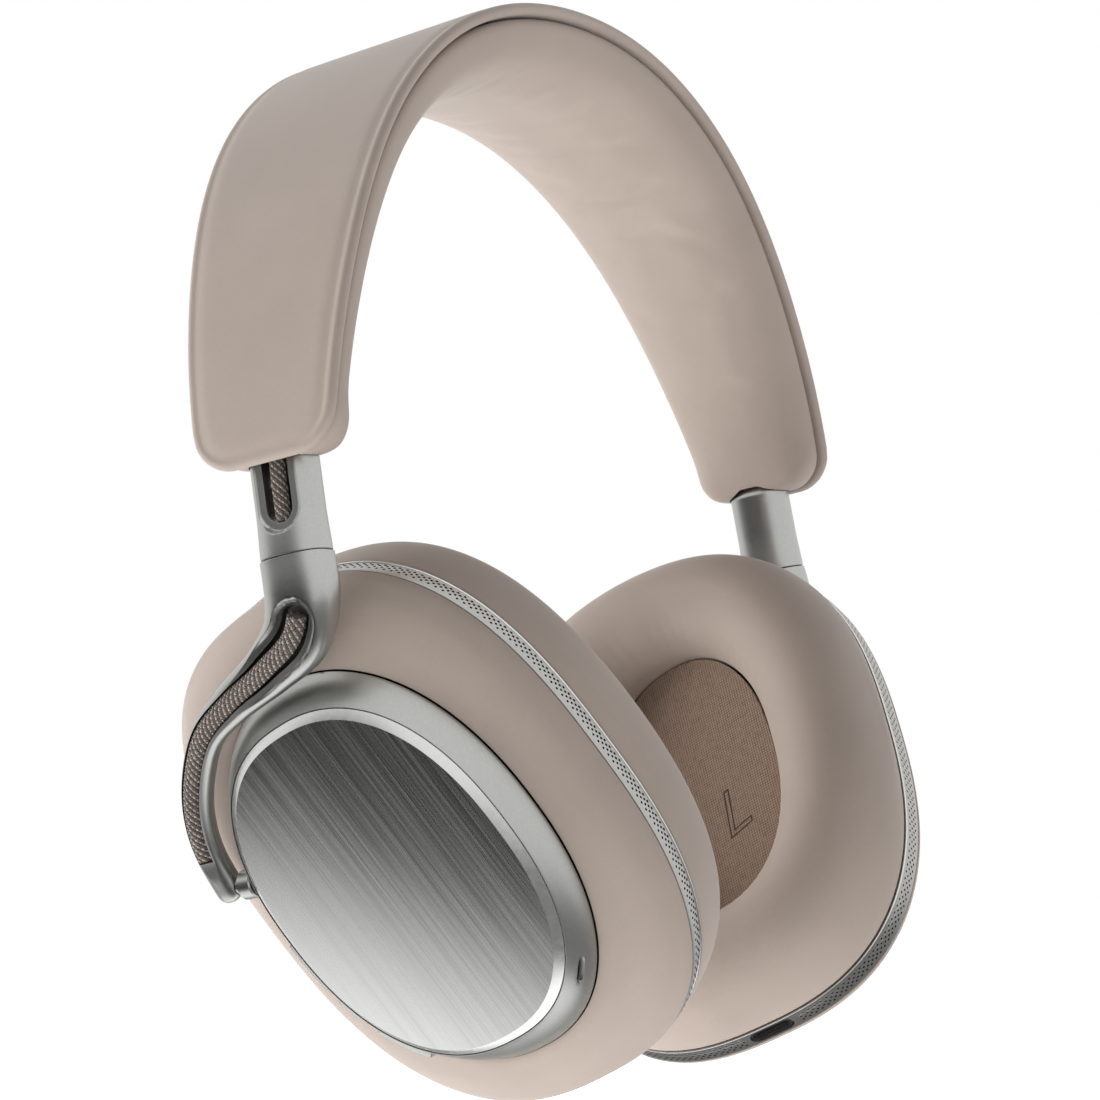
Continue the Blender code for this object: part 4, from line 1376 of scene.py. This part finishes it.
def perforated_ring(with_port):
    """The metal band round the cup, with staggered rows of holes and a polished bead."""
    halves = 2 * HOLES_ROUND
    outline = RIM.even_points(8 * HOLES_ROUND)
    total = len(outline)
    normals = []
    for index in range(total):
        step = outline[(index + 1) % total] - outline[index - 1]
        normals.append(Vector((0, step.z, -step.y)).normalized())

    def at(turns, x, offset):
        place = turns * total % total
        index = int(place) % total
        after = (index + 1) % total
        share = place - int(place)
        point = outline[index].lerp(outline[after], share)
        normal = normals[index].lerp(normals[after], share)
        return Vector((x, point.y, point.z)) + normal * offset

    def bow(x):
        return -RING_BOW * smooth_step(-1.6, -4.6, x)

    shape = Shape()

    def line(x, offset):
        start = len(shape.points)
        for index in range(halves):
            shape.points.append(at(index / halves, x, offset))
        return start

    def strip(low, high, slot):
        for index in range(halves):
            after = (index + 1) % halves
            shape.face((low + index, low + after, high + after, high + index), slot)

    bead = 0.2
    lines = [(line(0.0, -1.4), 0), (line(RIM_DEPTH, -1.4), 0)]
    for degrees in range(200, -1, -25):
        angle = math.radians(degrees)
        x = RIM_DEPTH + bead + bead * math.cos(angle)
        lines.append((line(x, -0.42 + bead * math.sin(angle)), 1))
    lines.append((line(RIM_DEPTH + 2 * bead + 0.04, bow(-3.7) - 0.12), 0))
    lines.append((line(RIM_DEPTH + 2 * bead + 0.12, bow(-3.65)), 0))
    hole_lines = []
    for row in range(HOLE_ROWS + 1):
        x = HOLE_START + row * HOLE_ROW
        hole_lines.append(line(x, bow(x)))
    lines.append((hole_lines[0], 0))
    for (low, slot), (high, _) in zip(lines, lines[1:]):
        strip(low, high, slot)
    last = hole_lines[-1]
    for x, offset in ((-0.25, 0.0), (-0.06, -0.05), (0.0, -0.16)):
        after = line(x, offset)
        strip(last, after, 0)
        last = after
    strip(last, lines[0][0], 0)
    for row in range(HOLE_ROWS):
        x = HOLE_START + (row + 0.5) * HOLE_ROW
        shift = row % 2
        middle = len(shape.points)
        for index in range(HOLES_ROUND):
            shape.points.append(at((2 * index + shift) / halves, x, bow(x)))
        low = hole_lines[row]
        high = hole_lines[row + 1]
        for index in range(HOLES_ROUND):
            first = (2 * index + shift) % halves
            mid = (first + 1) % halves
            end = (first + 2) % halves
            after = (index + 1) % HOLES_ROUND
            around = [
                middle + after,
                high + end,
                high + mid,
                high + first,
                middle + index,
                low + first,
                low + mid,
                low + end,
            ]
            centre = (2 * index + shift + 1) / halves
            point = at(centre, x, 0)
            if with_port and point.z < 0 and abs(point.y - PORT_Y) < PORT_CLEAR:
                shape.face(around)
                continue
            # Each hole's wall and closed floor take the third material, near-black: painted shade
            # inside the hole.
            rims = []
            for depth in (0.0, HOLE_DEPTH):
                start = len(shape.points)
                for turn in range(8):
                    angle = math.pi * turn / 4
                    along = HOLE_RADIUS * math.cos(angle) / RIM_LENGTH
                    across = HOLE_RADIUS * math.sin(angle)
                    shape.points.append(at(centre + along, x + across, bow(x) - depth))
                rims.append(start)
            outer, inner = rims
            for turn in range(8):
                follow = (turn + 1) % 8
                shape.face((around[turn], around[follow], outer + follow, outer + turn))
                shape.face((outer + turn, outer + follow, inner + follow, inner + turn), 2)
            shape.face(range(inner, inner + 8), 2)
    if with_port:
        shape = carved(shape, [port_pill(0.12, -52, -43)])
    return shape


def oval_length(oval):
    points = oval.points(0, 2000)
    return sum((points[index] - points[index - 1]).length for index in range(2000))


RIM_LENGTH = oval_length(RIM)
CUP_SEGMENTS = 160


def oval_rings(profile):
    return [oval.points(x, CUP_SEGMENTS) for oval, x in profile]


def cup_shell():
    """The leather shell between the ring and the pod, with a hem tucked in at each edge."""
    foot = POD.grow(0.22)
    steps = [(0.0, 0.3), (0.02, 1.1), (0.08, 2.3), (0.24, 4.45), (0.5, 6.35), (0.78, 7.5)]
    steps += [(0.93, 7.95), (1.0, 7.95)]
    outer = [(RIM.mix(foot, share), x) for share, x in smoothed(steps, 6)]
    start = [(RIM.grow(-1.6), 0.5), (RIM.grow(-0.5), 0.12), (RIM.grow(-0.14), 0.14)]
    hem = [(foot.grow(-0.12), 7.7), (foot, 6.5), (RIM.mix(foot, 0.55).grow(-1.2), 4.4)]
    inner = [(RIM.mix(foot, 0.22).grow(-1.3), 2.4)]
    return Shape().rings(oval_rings(start + outer + hem + inner), closed=True)


def rim_block(low, high, inner, outer, x_low, x_high):
    """A curved block let into the pod's rear wall between two heights."""
    middle = (x_low + x_high) / 2
    rise = POD_TOP - 0.5 - POD_FOOT
    wall = POD.mix(PLATE.grow(0.9), (middle - POD_FOOT) / rise)
    lean = (POD.width - PLATE.width - 0.9) / rise
    rings = []
    for z in spread(low, high, 28):
        point, normal = wall.rear_point(z)
        ring = []
        for x, offset in ((x_low, inner), (x_low, outer), (x_high, outer), (x_high, inner)):
            back = lean * (x - middle) if offset == outer else 0.0
            ring.append(point + normal * (offset - back) + Vector((x, 0, 0)))
        rings.append(ring)
    return Shape().rings(rings)


def button(span):
    low, high = span
    block = rim_block(low, high, -BUTTON_DEPTH, BUTTON_PROUD, BUTTON_LOW, BUTTON_HIGH)
    return carved(block, [], bevel=0.3)


def button_pocket(span):
    low, high = span
    return rim_block(
        low - BUTTON_GAP,
        high + BUTTON_GAP,
        -BUTTON_POCKET,
        3.0,
        BUTTON_LOW - BUTTON_GAP,
        BUTTON_HIGH + BUTTON_GAP,
    )


def mic_block(margin, depth, proud):
    """A short bar let into the pod's lower front wall, along its outline."""
    middle = (MIC_LOW + MIC_HIGH) / 2
    along = (MIC_HIGH - MIC_LOW).normalized()
    across = Vector((1, 0, 0))
    out = along.cross(across)
    if out.z > 0:
        out = -out
    half = (MIC_HIGH - MIC_LOW).length / 2 + margin
    thin = 0.45 + margin
    rings = []
    for offset in (-depth, proud):
        ring = []
        for index in range(32):
            angle = 2 * math.pi * index / 32
            a = half * signed_power(math.cos(angle), 0.6)
            b = thin * signed_power(math.sin(angle), 0.8)
            ring.append(middle + along * a + across * b + out * (offset - POD_SLOPE * b))
        rings.append(ring)
    return Shape().rings(rings)


def pod_ring(button_spans):
    """The satin cone under the plate, with pockets for the buttons, microphone and pivot."""
    top = PLATE.grow(0.3)
    seat = PLATE.grow(0.12)
    cone = []
    for share in spread(0.0, 1.0, 12):
        swell = 0.3 * math.sin(math.pi * share)
        x = POD_FOOT + (POD_TOP - 0.1 - POD_FOOT) * share
        cone.append((POD.mix(top, share).grow(swell), x))
    profile = [
        (POD.grow(-1.2), POD_FOOT - 0.27),
        (POD.grow(-0.14), POD_FOOT - 0.27),
        (POD.grow(-0.02), POD_FOOT - 0.14),
        *cone,
        (PLATE.grow(0.22), POD_TOP),
        (seat, POD_TOP),
        (seat, 12.3),
        (PLATE.grow(-2.0), 12.3),
        (PLATE.grow(-2.0), 6.8),
        (POD.grow(-1.2), 6.8),
    ]
    pocket = rod(BOSS_RADIUS + 0.3, pivot_at(BOSS_START - 1), pivot_at(BOSS_END + 0.3))
    bore = rod(PIVOT_PIN_RADIUS + 0.1, pivot_at(BOSS_START), pivot_at(PIVOT_PIN_END + 0.3))
    cutters = [button_pocket(span) for span in button_spans]
    cutters.append(mic_block(0.1, 1.2, 4.0))
    shape = Shape().rings(oval_rings(profile), closed=True)
    return carved(shape, [pocket, bore, *cutters], bevel=0.1)


def outer_plate():
    """The brushed plate, with a polished chamfer."""
    profile = [
        (PLATE.grow(-0.3), 12.6),
        (PLATE.grow(-0.1), 12.7),
        (PLATE, 13.35),
        (PLATE.grow(-0.05), 13.48),
        (PLATE.grow(-1.35), PLATE_TOP - 0.06),
        (PLATE.grow(-1.43), PLATE_TOP - 0.01),
        (PLATE.grow(-1.6), PLATE_TOP),
    ]
    slots = [1, 1, 1, 1, 1, 0, 0]
    return Shape().rings(oval_rings(profile), slots=slots)


def mic_mesh():
    """The insert that fills the microphone's slot: its own dark mesh, made near-black as painted
    shade of the deep slot.
    """
    return mic_block(0.04, 1.1, -0.06)


def baffle_cloth():
    """A taut oval of cloth, domed slightly towards the ear."""
    edge = EAR.grow(-0.4)
    rings = []
    for share in (0.04, 0.2, 0.36, 0.52, 0.68, 0.84, 0.95, 1.0):
        oval = Oval(edge.height * share, edge.width * share, edge.power)
        rings.append(oval.points(cloth_dome(share), 96))
    rings.append(edge.points(0.8, 96))
    return Shape().rings(rings).moved(slanted_frame(CLOTH_DEPTH))


def cloth_dome(share):
    return -0.35 * (1 - share * share)


def line_loop(points, width, low, high):
    """A closed outline drawn as a thin raised line, in the plane of y and z."""
    count = len(points)
    rings = []
    for index, point in enumerate(points):
        before = (point - points[index - 1]).normalized()
        after = (points[(index + 1) % count] - point).normalized()
        corner = Vector((-(before + after).y, (before + after).x))
        if corner.length < 1e-6:
            corner = Vector((-after.y, after.x))
        corner = corner.normalized()
        lean = max(corner.dot(Vector((-after.y, after.x))), 0.4)
        shift = corner * (width / 2 / lean)
        one, two = point - shift, point + shift
        corners = ((one, low), (two, low), (two, high), (one, high))
        rings.append([Vector((x, edge.x, edge.y)) for edge, x in corners])
    return rings


LETTER_L = [[(0, 0), (5.2, 0), (5.2, 1.05), (1.05, 1.05), (1.05, 9.5), (0, 9.5)]]


def letter_r():
    def bowl(middle, radius_y, radius_z):
        turns = [math.pi / 2 - math.pi * index / 10 for index in range(11)]
        return [(middle + radius_y * math.cos(t), 7.1 + radius_z * math.sin(t)) for t in turns]

    outer = [(0, 0), (0, 9.5), *bowl(2.7, 2.5, 2.4), (3.1, 4.7), (5.2, 0), (4.0, 0)]
    outer += [(2.0, 4.6), (1.05, 4.6), (1.05, 0)]
    inner = [(1.05, 5.6), (1.05, 8.6), *bowl(2.6, 1.5, 1.5)]
    return [outer, inner]


def side_mark(letter, origin, right):
    """A generic L or R in outline, printed on the cloth."""
    up = Vector((0.073, 0.997))
    loops = LETTER_L if letter == "l" else letter_r()
    shape = Shape()
    for loop in loops:
        points = [Vector(origin) + right * a + up * b for a, b in loop]
        fine = []
        for index, point in enumerate(points):
            after = points[(index + 1) % len(points)]
            steps = max(int((after - point).length / 0.8), 1)
            fine += [point.lerp(after, step / steps) for step in range(steps)]
        rings = line_loop(fine, 0.24, -0.33, -0.1)
        shape.rings(rings, closed=True)
    for index, point in enumerate(shape.points):
        share = math.hypot(point.y / EAR.width, point.z / EAR.height)
        point.x += cloth_dome(min(share, 1.0)) + 0.28
    return shape.moved(slanted_frame(CLOTH_DEPTH))


CUSHION_STEPS = [
    (1.0, -4.62),
    (1.012, -7.0),
    (1.0, -12.0),
    (0.93, -17.0),
    (0.8, -20.6),
    (0.64, CUSHION_CREST + 0.3),
    (0.48, CUSHION_CREST),
    (0.3, CUSHION_CREST + 0.9),
    (0.12, -18.8),
    (0.0, -14.6),
    (0.0, -10.6),
]
CUSHION_POINTS = 132
CUSHION_SHRINK = 0.5
CUSHION_PRESSURE = 4000.0
CUSHION_MOST_MOVE = 0.75
CUSHION_STIFFNESS = 5.0
CUSHION_BENDING = 0.1
CUSHION_BASE = [(0.0, -8.5), (0.0, -5.9), (0.3, -5.9), (0.6, -5.9), (0.88, -5.9), (0.88, -4.62)]


def cushion_rings(shrink):
    """Sections of the ear cushion, drawn in by shrink."""
    profile = smoothed(CUSHION_STEPS, 4)
    rings = []
    held = []
    for share, x in profile:
        drawn = shrink * smooth_step(-8.0, -16.0, x)
        outer_edge = RIM.grow(-0.45 - shrink * smooth_step(-5.6, -11.0, x))
        inner_edge = EAR.grow(shrink * smooth_step(-12.5, -17.0, x))
        rings.append(inner_edge.mix(outer_edge, share).points(x + drawn, CUSHION_POINTS))
        held.append(x > -5.6 or (share < 0.05 and x > -12.5))
    for share, x in CUSHION_BASE:
        rings.append(EAR.mix(RIM.grow(-0.45), share).points(x, CUSHION_POINTS))
        held.append(True)
    return rings, held


def ear_cushion():
    """A padded ring of leather, blown up by the cloth simulation."""
    rings, held_rings = cushion_rings(CUSHION_SHRINK)
    shape = Shape().rings(rings, closed=True)
    held = [fixed for fixed in held_rings for _ in rings[0]]
    shape = inflated(
        shape, held, CUSHION_PRESSURE, CUSHION_MOST_MOVE, CUSHION_STIFFNESS, CUSHION_BENDING
    )
    return subdivided(shape)


def usb_port():
    """The port's dark frame and its metal shell."""
    frame_shape = carved(port_pill(0.0, -47.6, -41.0, 0.12), [port_pill(-0.4, -50.0, -42.0)])
    lining = carved(port_pill(-0.42, -47.1, -41.4), [port_pill(-0.62, -50.0, -42.5)])
    return frame_shape, lining


def usb_tongue():
    tongue = rod(0.5, (PORT_X, -2.2, TONGUE_Z), (PORT_X, 3.2, TONGUE_Z))
    corners = ((-0.32, -2.9), (0.32, -2.9), (0.32, 2.9), (-0.32, 2.9))
    rings = []
    for z in (-46.6, -42.0):
        rings.append([Vector((x + PORT_X, y + PORT_Y, z)) for x, y in corners])
    block = Shape().rings(rings)
    return carved(block, [tongue], "UNION", bevel=0.08)


CUSHION = ear_cushion()


def build_cup(side):
    left = side.sign < 0
    buttons = LEFT_BUTTONS if left else RIGHT_BUTTONS

    def put(name, shape, slot, finishes, stands_for=(), angle=SHARP_EDGE, body="cup"):
        return side.make(name, shape, CUP, body, slot, finishes, stands_for, angle)

    put(
        "hole_ring", perforated_ring(left), "satin_metal", [RING_METAL, POLISHED, HOLE_SHADE_AND_MIC_BLACK],
        ["perforated_ring"],
    )
    put("shell_cover", cup_shell(), "leather", [SHELL_LEATHER], ["cup_shell"], 60)
    put("pod_cone", pod_ring(buttons.values()), "satin_metal", [SATIN], ["pod_ring"], 30)
    put(
        "face_plate", outer_plate(), "brushed_metal", [BRUSHED[side.letter], POLISHED],
        ["outer_plate"], 20,
    )
    put("mic_slot", mic_mesh(), "plastic", [HOLE_SHADE_AND_MIC_BLACK], ["mic_mesh"])
    put("cushion_ring", CUSHION, "leather", [PAD_LEATHER], ["ear_cushion"], 70)
    put("ear_cloth", baffle_cloth(), "baffle_cloth", [CLOTH[side.letter]], ["baffle_cloth"])
    if left:
        mark = side_mark("l", (5.5, -13.0), Vector((0.98, 0.2)))
    else:
        mark = side_mark("r", (10.8, -12.3), Vector((-0.995, -0.06)))
    put("side_mark", mark, "plastic", [INK])
    for name, span in buttons.items():
        put(
            name + "_cap", button(span), "satin_metal", [SATIN], [name], 35,
            side.named(name),
        )
    if left:
        frame_shape, lining = usb_port()
        put("port_frame", frame_shape, "plastic", [PLASTIC], ["usb_port"])
        put("port_lining", lining, "steel", [STEEL])
        put("port_tongue", usb_tongue(), "plastic", [PLASTIC])


KEPT = {
    "spring_band": STEEL,
    "slider_sleeve": PLASTIC,
    "swivel_pin": STEEL,
    "cup_housing": PLASTIC,
    "circuit_board": BOARD,
    "driver_frame": PLASTIC,
    "driver_cone": CARBON,
    "driver_magnet": STEEL,
    "baffle": PLASTIC,
    "cushion_frame": PLASTIC,
    "battery": FOIL,
}


def finish_kept_nodes():
    """Gives the hidden CAD parts their procedural materials."""
    for name, node in frame["nodes"].items():
        base = name[:-2] if name.endswith(("_r", "_l")) else name
        if base in KEPT:
            node.data.materials.clear()
            node.data.materials.append(KEPT[base])


# Studio


CAMERA_PLACE = (0.50535, 0.30086, -0.15205)
CAMERA_FORWARD = Vector((-0.85119651, -0.51069865, 0.12104295))
CAMERA_RIGHT = Vector((-0.52446313, 0.83646498, -0.15894894))
CAMERA_LENS = 110.12
DARK_SIDE = (0.84, -0.49, -0.24)
FLOOR_DROP = 0.03
FLOOR_HALF_SIZE = 6.0
REFLECTOR_DROP = 0.067
FILL_STRENGTH = 0.2
LIT_CENTRE = Vector((0.0, 0.0, -0.08))
# Each soft light's name, place, size and power.
LIGHTS = [
    ("top", (0.1, -0.4, 1.05), (1.2, 1.2), 4.5),
    ("left", (0.5, -1.0, 0.05), (0.6, 1.1), 11.0),
    ("low", (0.35, -0.6, -0.75), (0.9, 0.9), 5.0),
    ("right", (-0.2, 1.1, 0.25), (0.7, 1.1), 0.5),
]


def build_camera():
    up = CAMERA_RIGHT.cross(CAMERA_FORWARD).normalized()
    data = bpy.data.cameras.new("camera")
    data.sensor_width = 36.0
    data.lens = CAMERA_LENS
    data.clip_start = 0.01
    data.clip_end = 50.0
    camera = bpy.data.objects.new("camera", data)
    bpy.context.scene.collection.objects.link(camera)
    place = Vector(CAMERA_PLACE)
    camera.matrix_world = axes_frame(place, CAMERA_RIGHT, up, -CAMERA_FORWARD)
    bpy.context.scene.camera = camera


def soft_light(name, place, size, power):
    """A rectangular light aimed at the middle of the object, not seen in reflections."""
    data = bpy.data.lights.new(name, "AREA")
    data.shape = "RECTANGLE"
    data.size, data.size_y = size
    data.energy = power
    light = bpy.data.objects.new(name, data)
    bpy.context.scene.collection.objects.link(light)
    light.location = place
    light.rotation_mode = "QUATERNION"
    light.rotation_quaternion = (LIT_CENTRE - Vector(place)).to_track_quat("-Z", "Y")
    light.visible_camera = False
    light.visible_glossy = False


def white_glow(tree, strength):
    """A white background of a set strength, or of one that another node gives."""
    node = tree.nodes.new("ShaderNodeBackground")
    node.inputs["Color"].default_value = (1.0, 1.0, 1.0, 1.0)
    if isinstance(strength, float):
        node.inputs["Strength"].default_value = strength
    else:
        tree.links.new(strength, node.inputs["Strength"])
    return node.outputs[0]


def either(tree, choice, no, yes):
    """One shader or the other, by a choice of 0 or 1."""
    node = tree.nodes.new("ShaderNodeMixShader")
    for value, socket in zip((choice, no, yes), node.inputs):
        tree.links.new(value, socket)
    return node.outputs[0]


def build_world():
    """White behind the object, a soft fill, and for reflections a dark side and underside."""
    world = bpy.data.worlds.new("studio")
    bpy.context.scene.world = world
    world.use_nodes = True
    tree = world.node_tree
    nodes = tree.nodes
    links = tree.links
    nodes.clear()
    out = nodes.new("ShaderNodeOutputWorld")
    path = nodes.new("ShaderNodeLightPath")
    place = nodes.new("ShaderNodeTexCoord")
    split = nodes.new("ShaderNodeSeparateXYZ")
    links.new(place.outputs["Generated"], split.inputs[0])
    toward = along_direction(tree, place.outputs["Generated"], DARK_SIDE)
    front = mapped(tree, toward, 0.68, 0.93, 0.95, 0.03, smooth=True)
    under = mapped(tree, split.outputs["Z"], -0.5, -0.15, 0.25, 1.0, smooth=True)
    gloss = nodes.new("ShaderNodeMath")
    gloss.operation = "MULTIPLY"
    links.new(front, gloss.inputs[0])
    links.new(under, gloss.inputs[1])
    reflected = white_glow(tree, gloss.outputs[0])
    fill = white_glow(tree, FILL_STRENGTH)
    unseen = either(tree, path.outputs["Is Glossy Ray"], fill, reflected)
    world_light = either(tree, path.outputs["Is Camera Ray"], unseen, white_glow(tree, 1.0))
    links.new(world_light, out.inputs["Surface"])


def sheet(name, x_low, x_high, y_low, y_high, z):
    """A level rectangle."""
    mesh = bpy.data.meshes.new(name)
    corners = [(x_low, y_low, z), (x_high, y_low, z), (x_high, y_high, z), (x_low, y_high, z)]
    mesh.from_pydata(corners, [], [(0, 1, 2, 3)])
    obj = bpy.data.objects.new(name, mesh)
    bpy.context.scene.collection.objects.link(obj)
    return obj


def build_floor():
    size = FLOOR_HALF_SIZE
    floor = sheet("floor", -size, size, -size, size, CAD_BOX[0].z - FLOOR_DROP)
    finish = Finish("floor", (0.9, 0.9, 0.9), 0.9)
    finish.tint(finish.noise(40.0, 2.0), 0.985, 1.0)
    finish.shader.inputs["Emission Color"].default_value = (1.0, 1.0, 1.0, 1.0)
    finish.shader.inputs["Emission Strength"].default_value = 0.85
    floor.data.materials.append(finish.material)
    floor.visible_glossy = False
    floor.visible_shadow = False


def build_reflector():
    """A glowing card under the floor that only reflections see, fading out to the front."""
    card = sheet("reflector", 0.0, 0.3, -0.2, 0.05, CAD_BOX[0].z - REFLECTOR_DROP)
    material = bpy.data.materials.new("reflector")
    material.use_nodes = True
    tree = material.node_tree
    tree.nodes.clear()
    place = tree.nodes.new("ShaderNodeTexCoord")
    along = along_direction(tree, place.outputs["Object"], (0.92, 0.38, 0.0))
    fade = mapped(tree, along, 0.056, 0.106, 1.45, 0.04)
    glow = tree.nodes.new("ShaderNodeEmission")
    tree.links.new(fade, glow.inputs["Strength"])
    out = tree.nodes.new("ShaderNodeOutputMaterial")
    tree.links.new(glow.outputs[0], out.inputs["Surface"])
    card.data.materials.append(material)
    card.visible_camera = False
    card.visible_diffuse = False
    card.visible_shadow = False


def build_studio():
    build_camera()
    build_world()
    build_floor()
    build_reflector()
    for light in LIGHTS:
        soft_light(*light)
    bpy.context.scene.view_settings.view_transform = "Standard"


build_headband()
for letter, sign in (("r", 1), ("l", -1)):
    one_side = Side(letter, sign)
    build_stem(one_side)
    build_yoke(one_side)
    build_cup(one_side)
finish_kept_nodes()
build_studio()

bpy.context.view_layer.update()
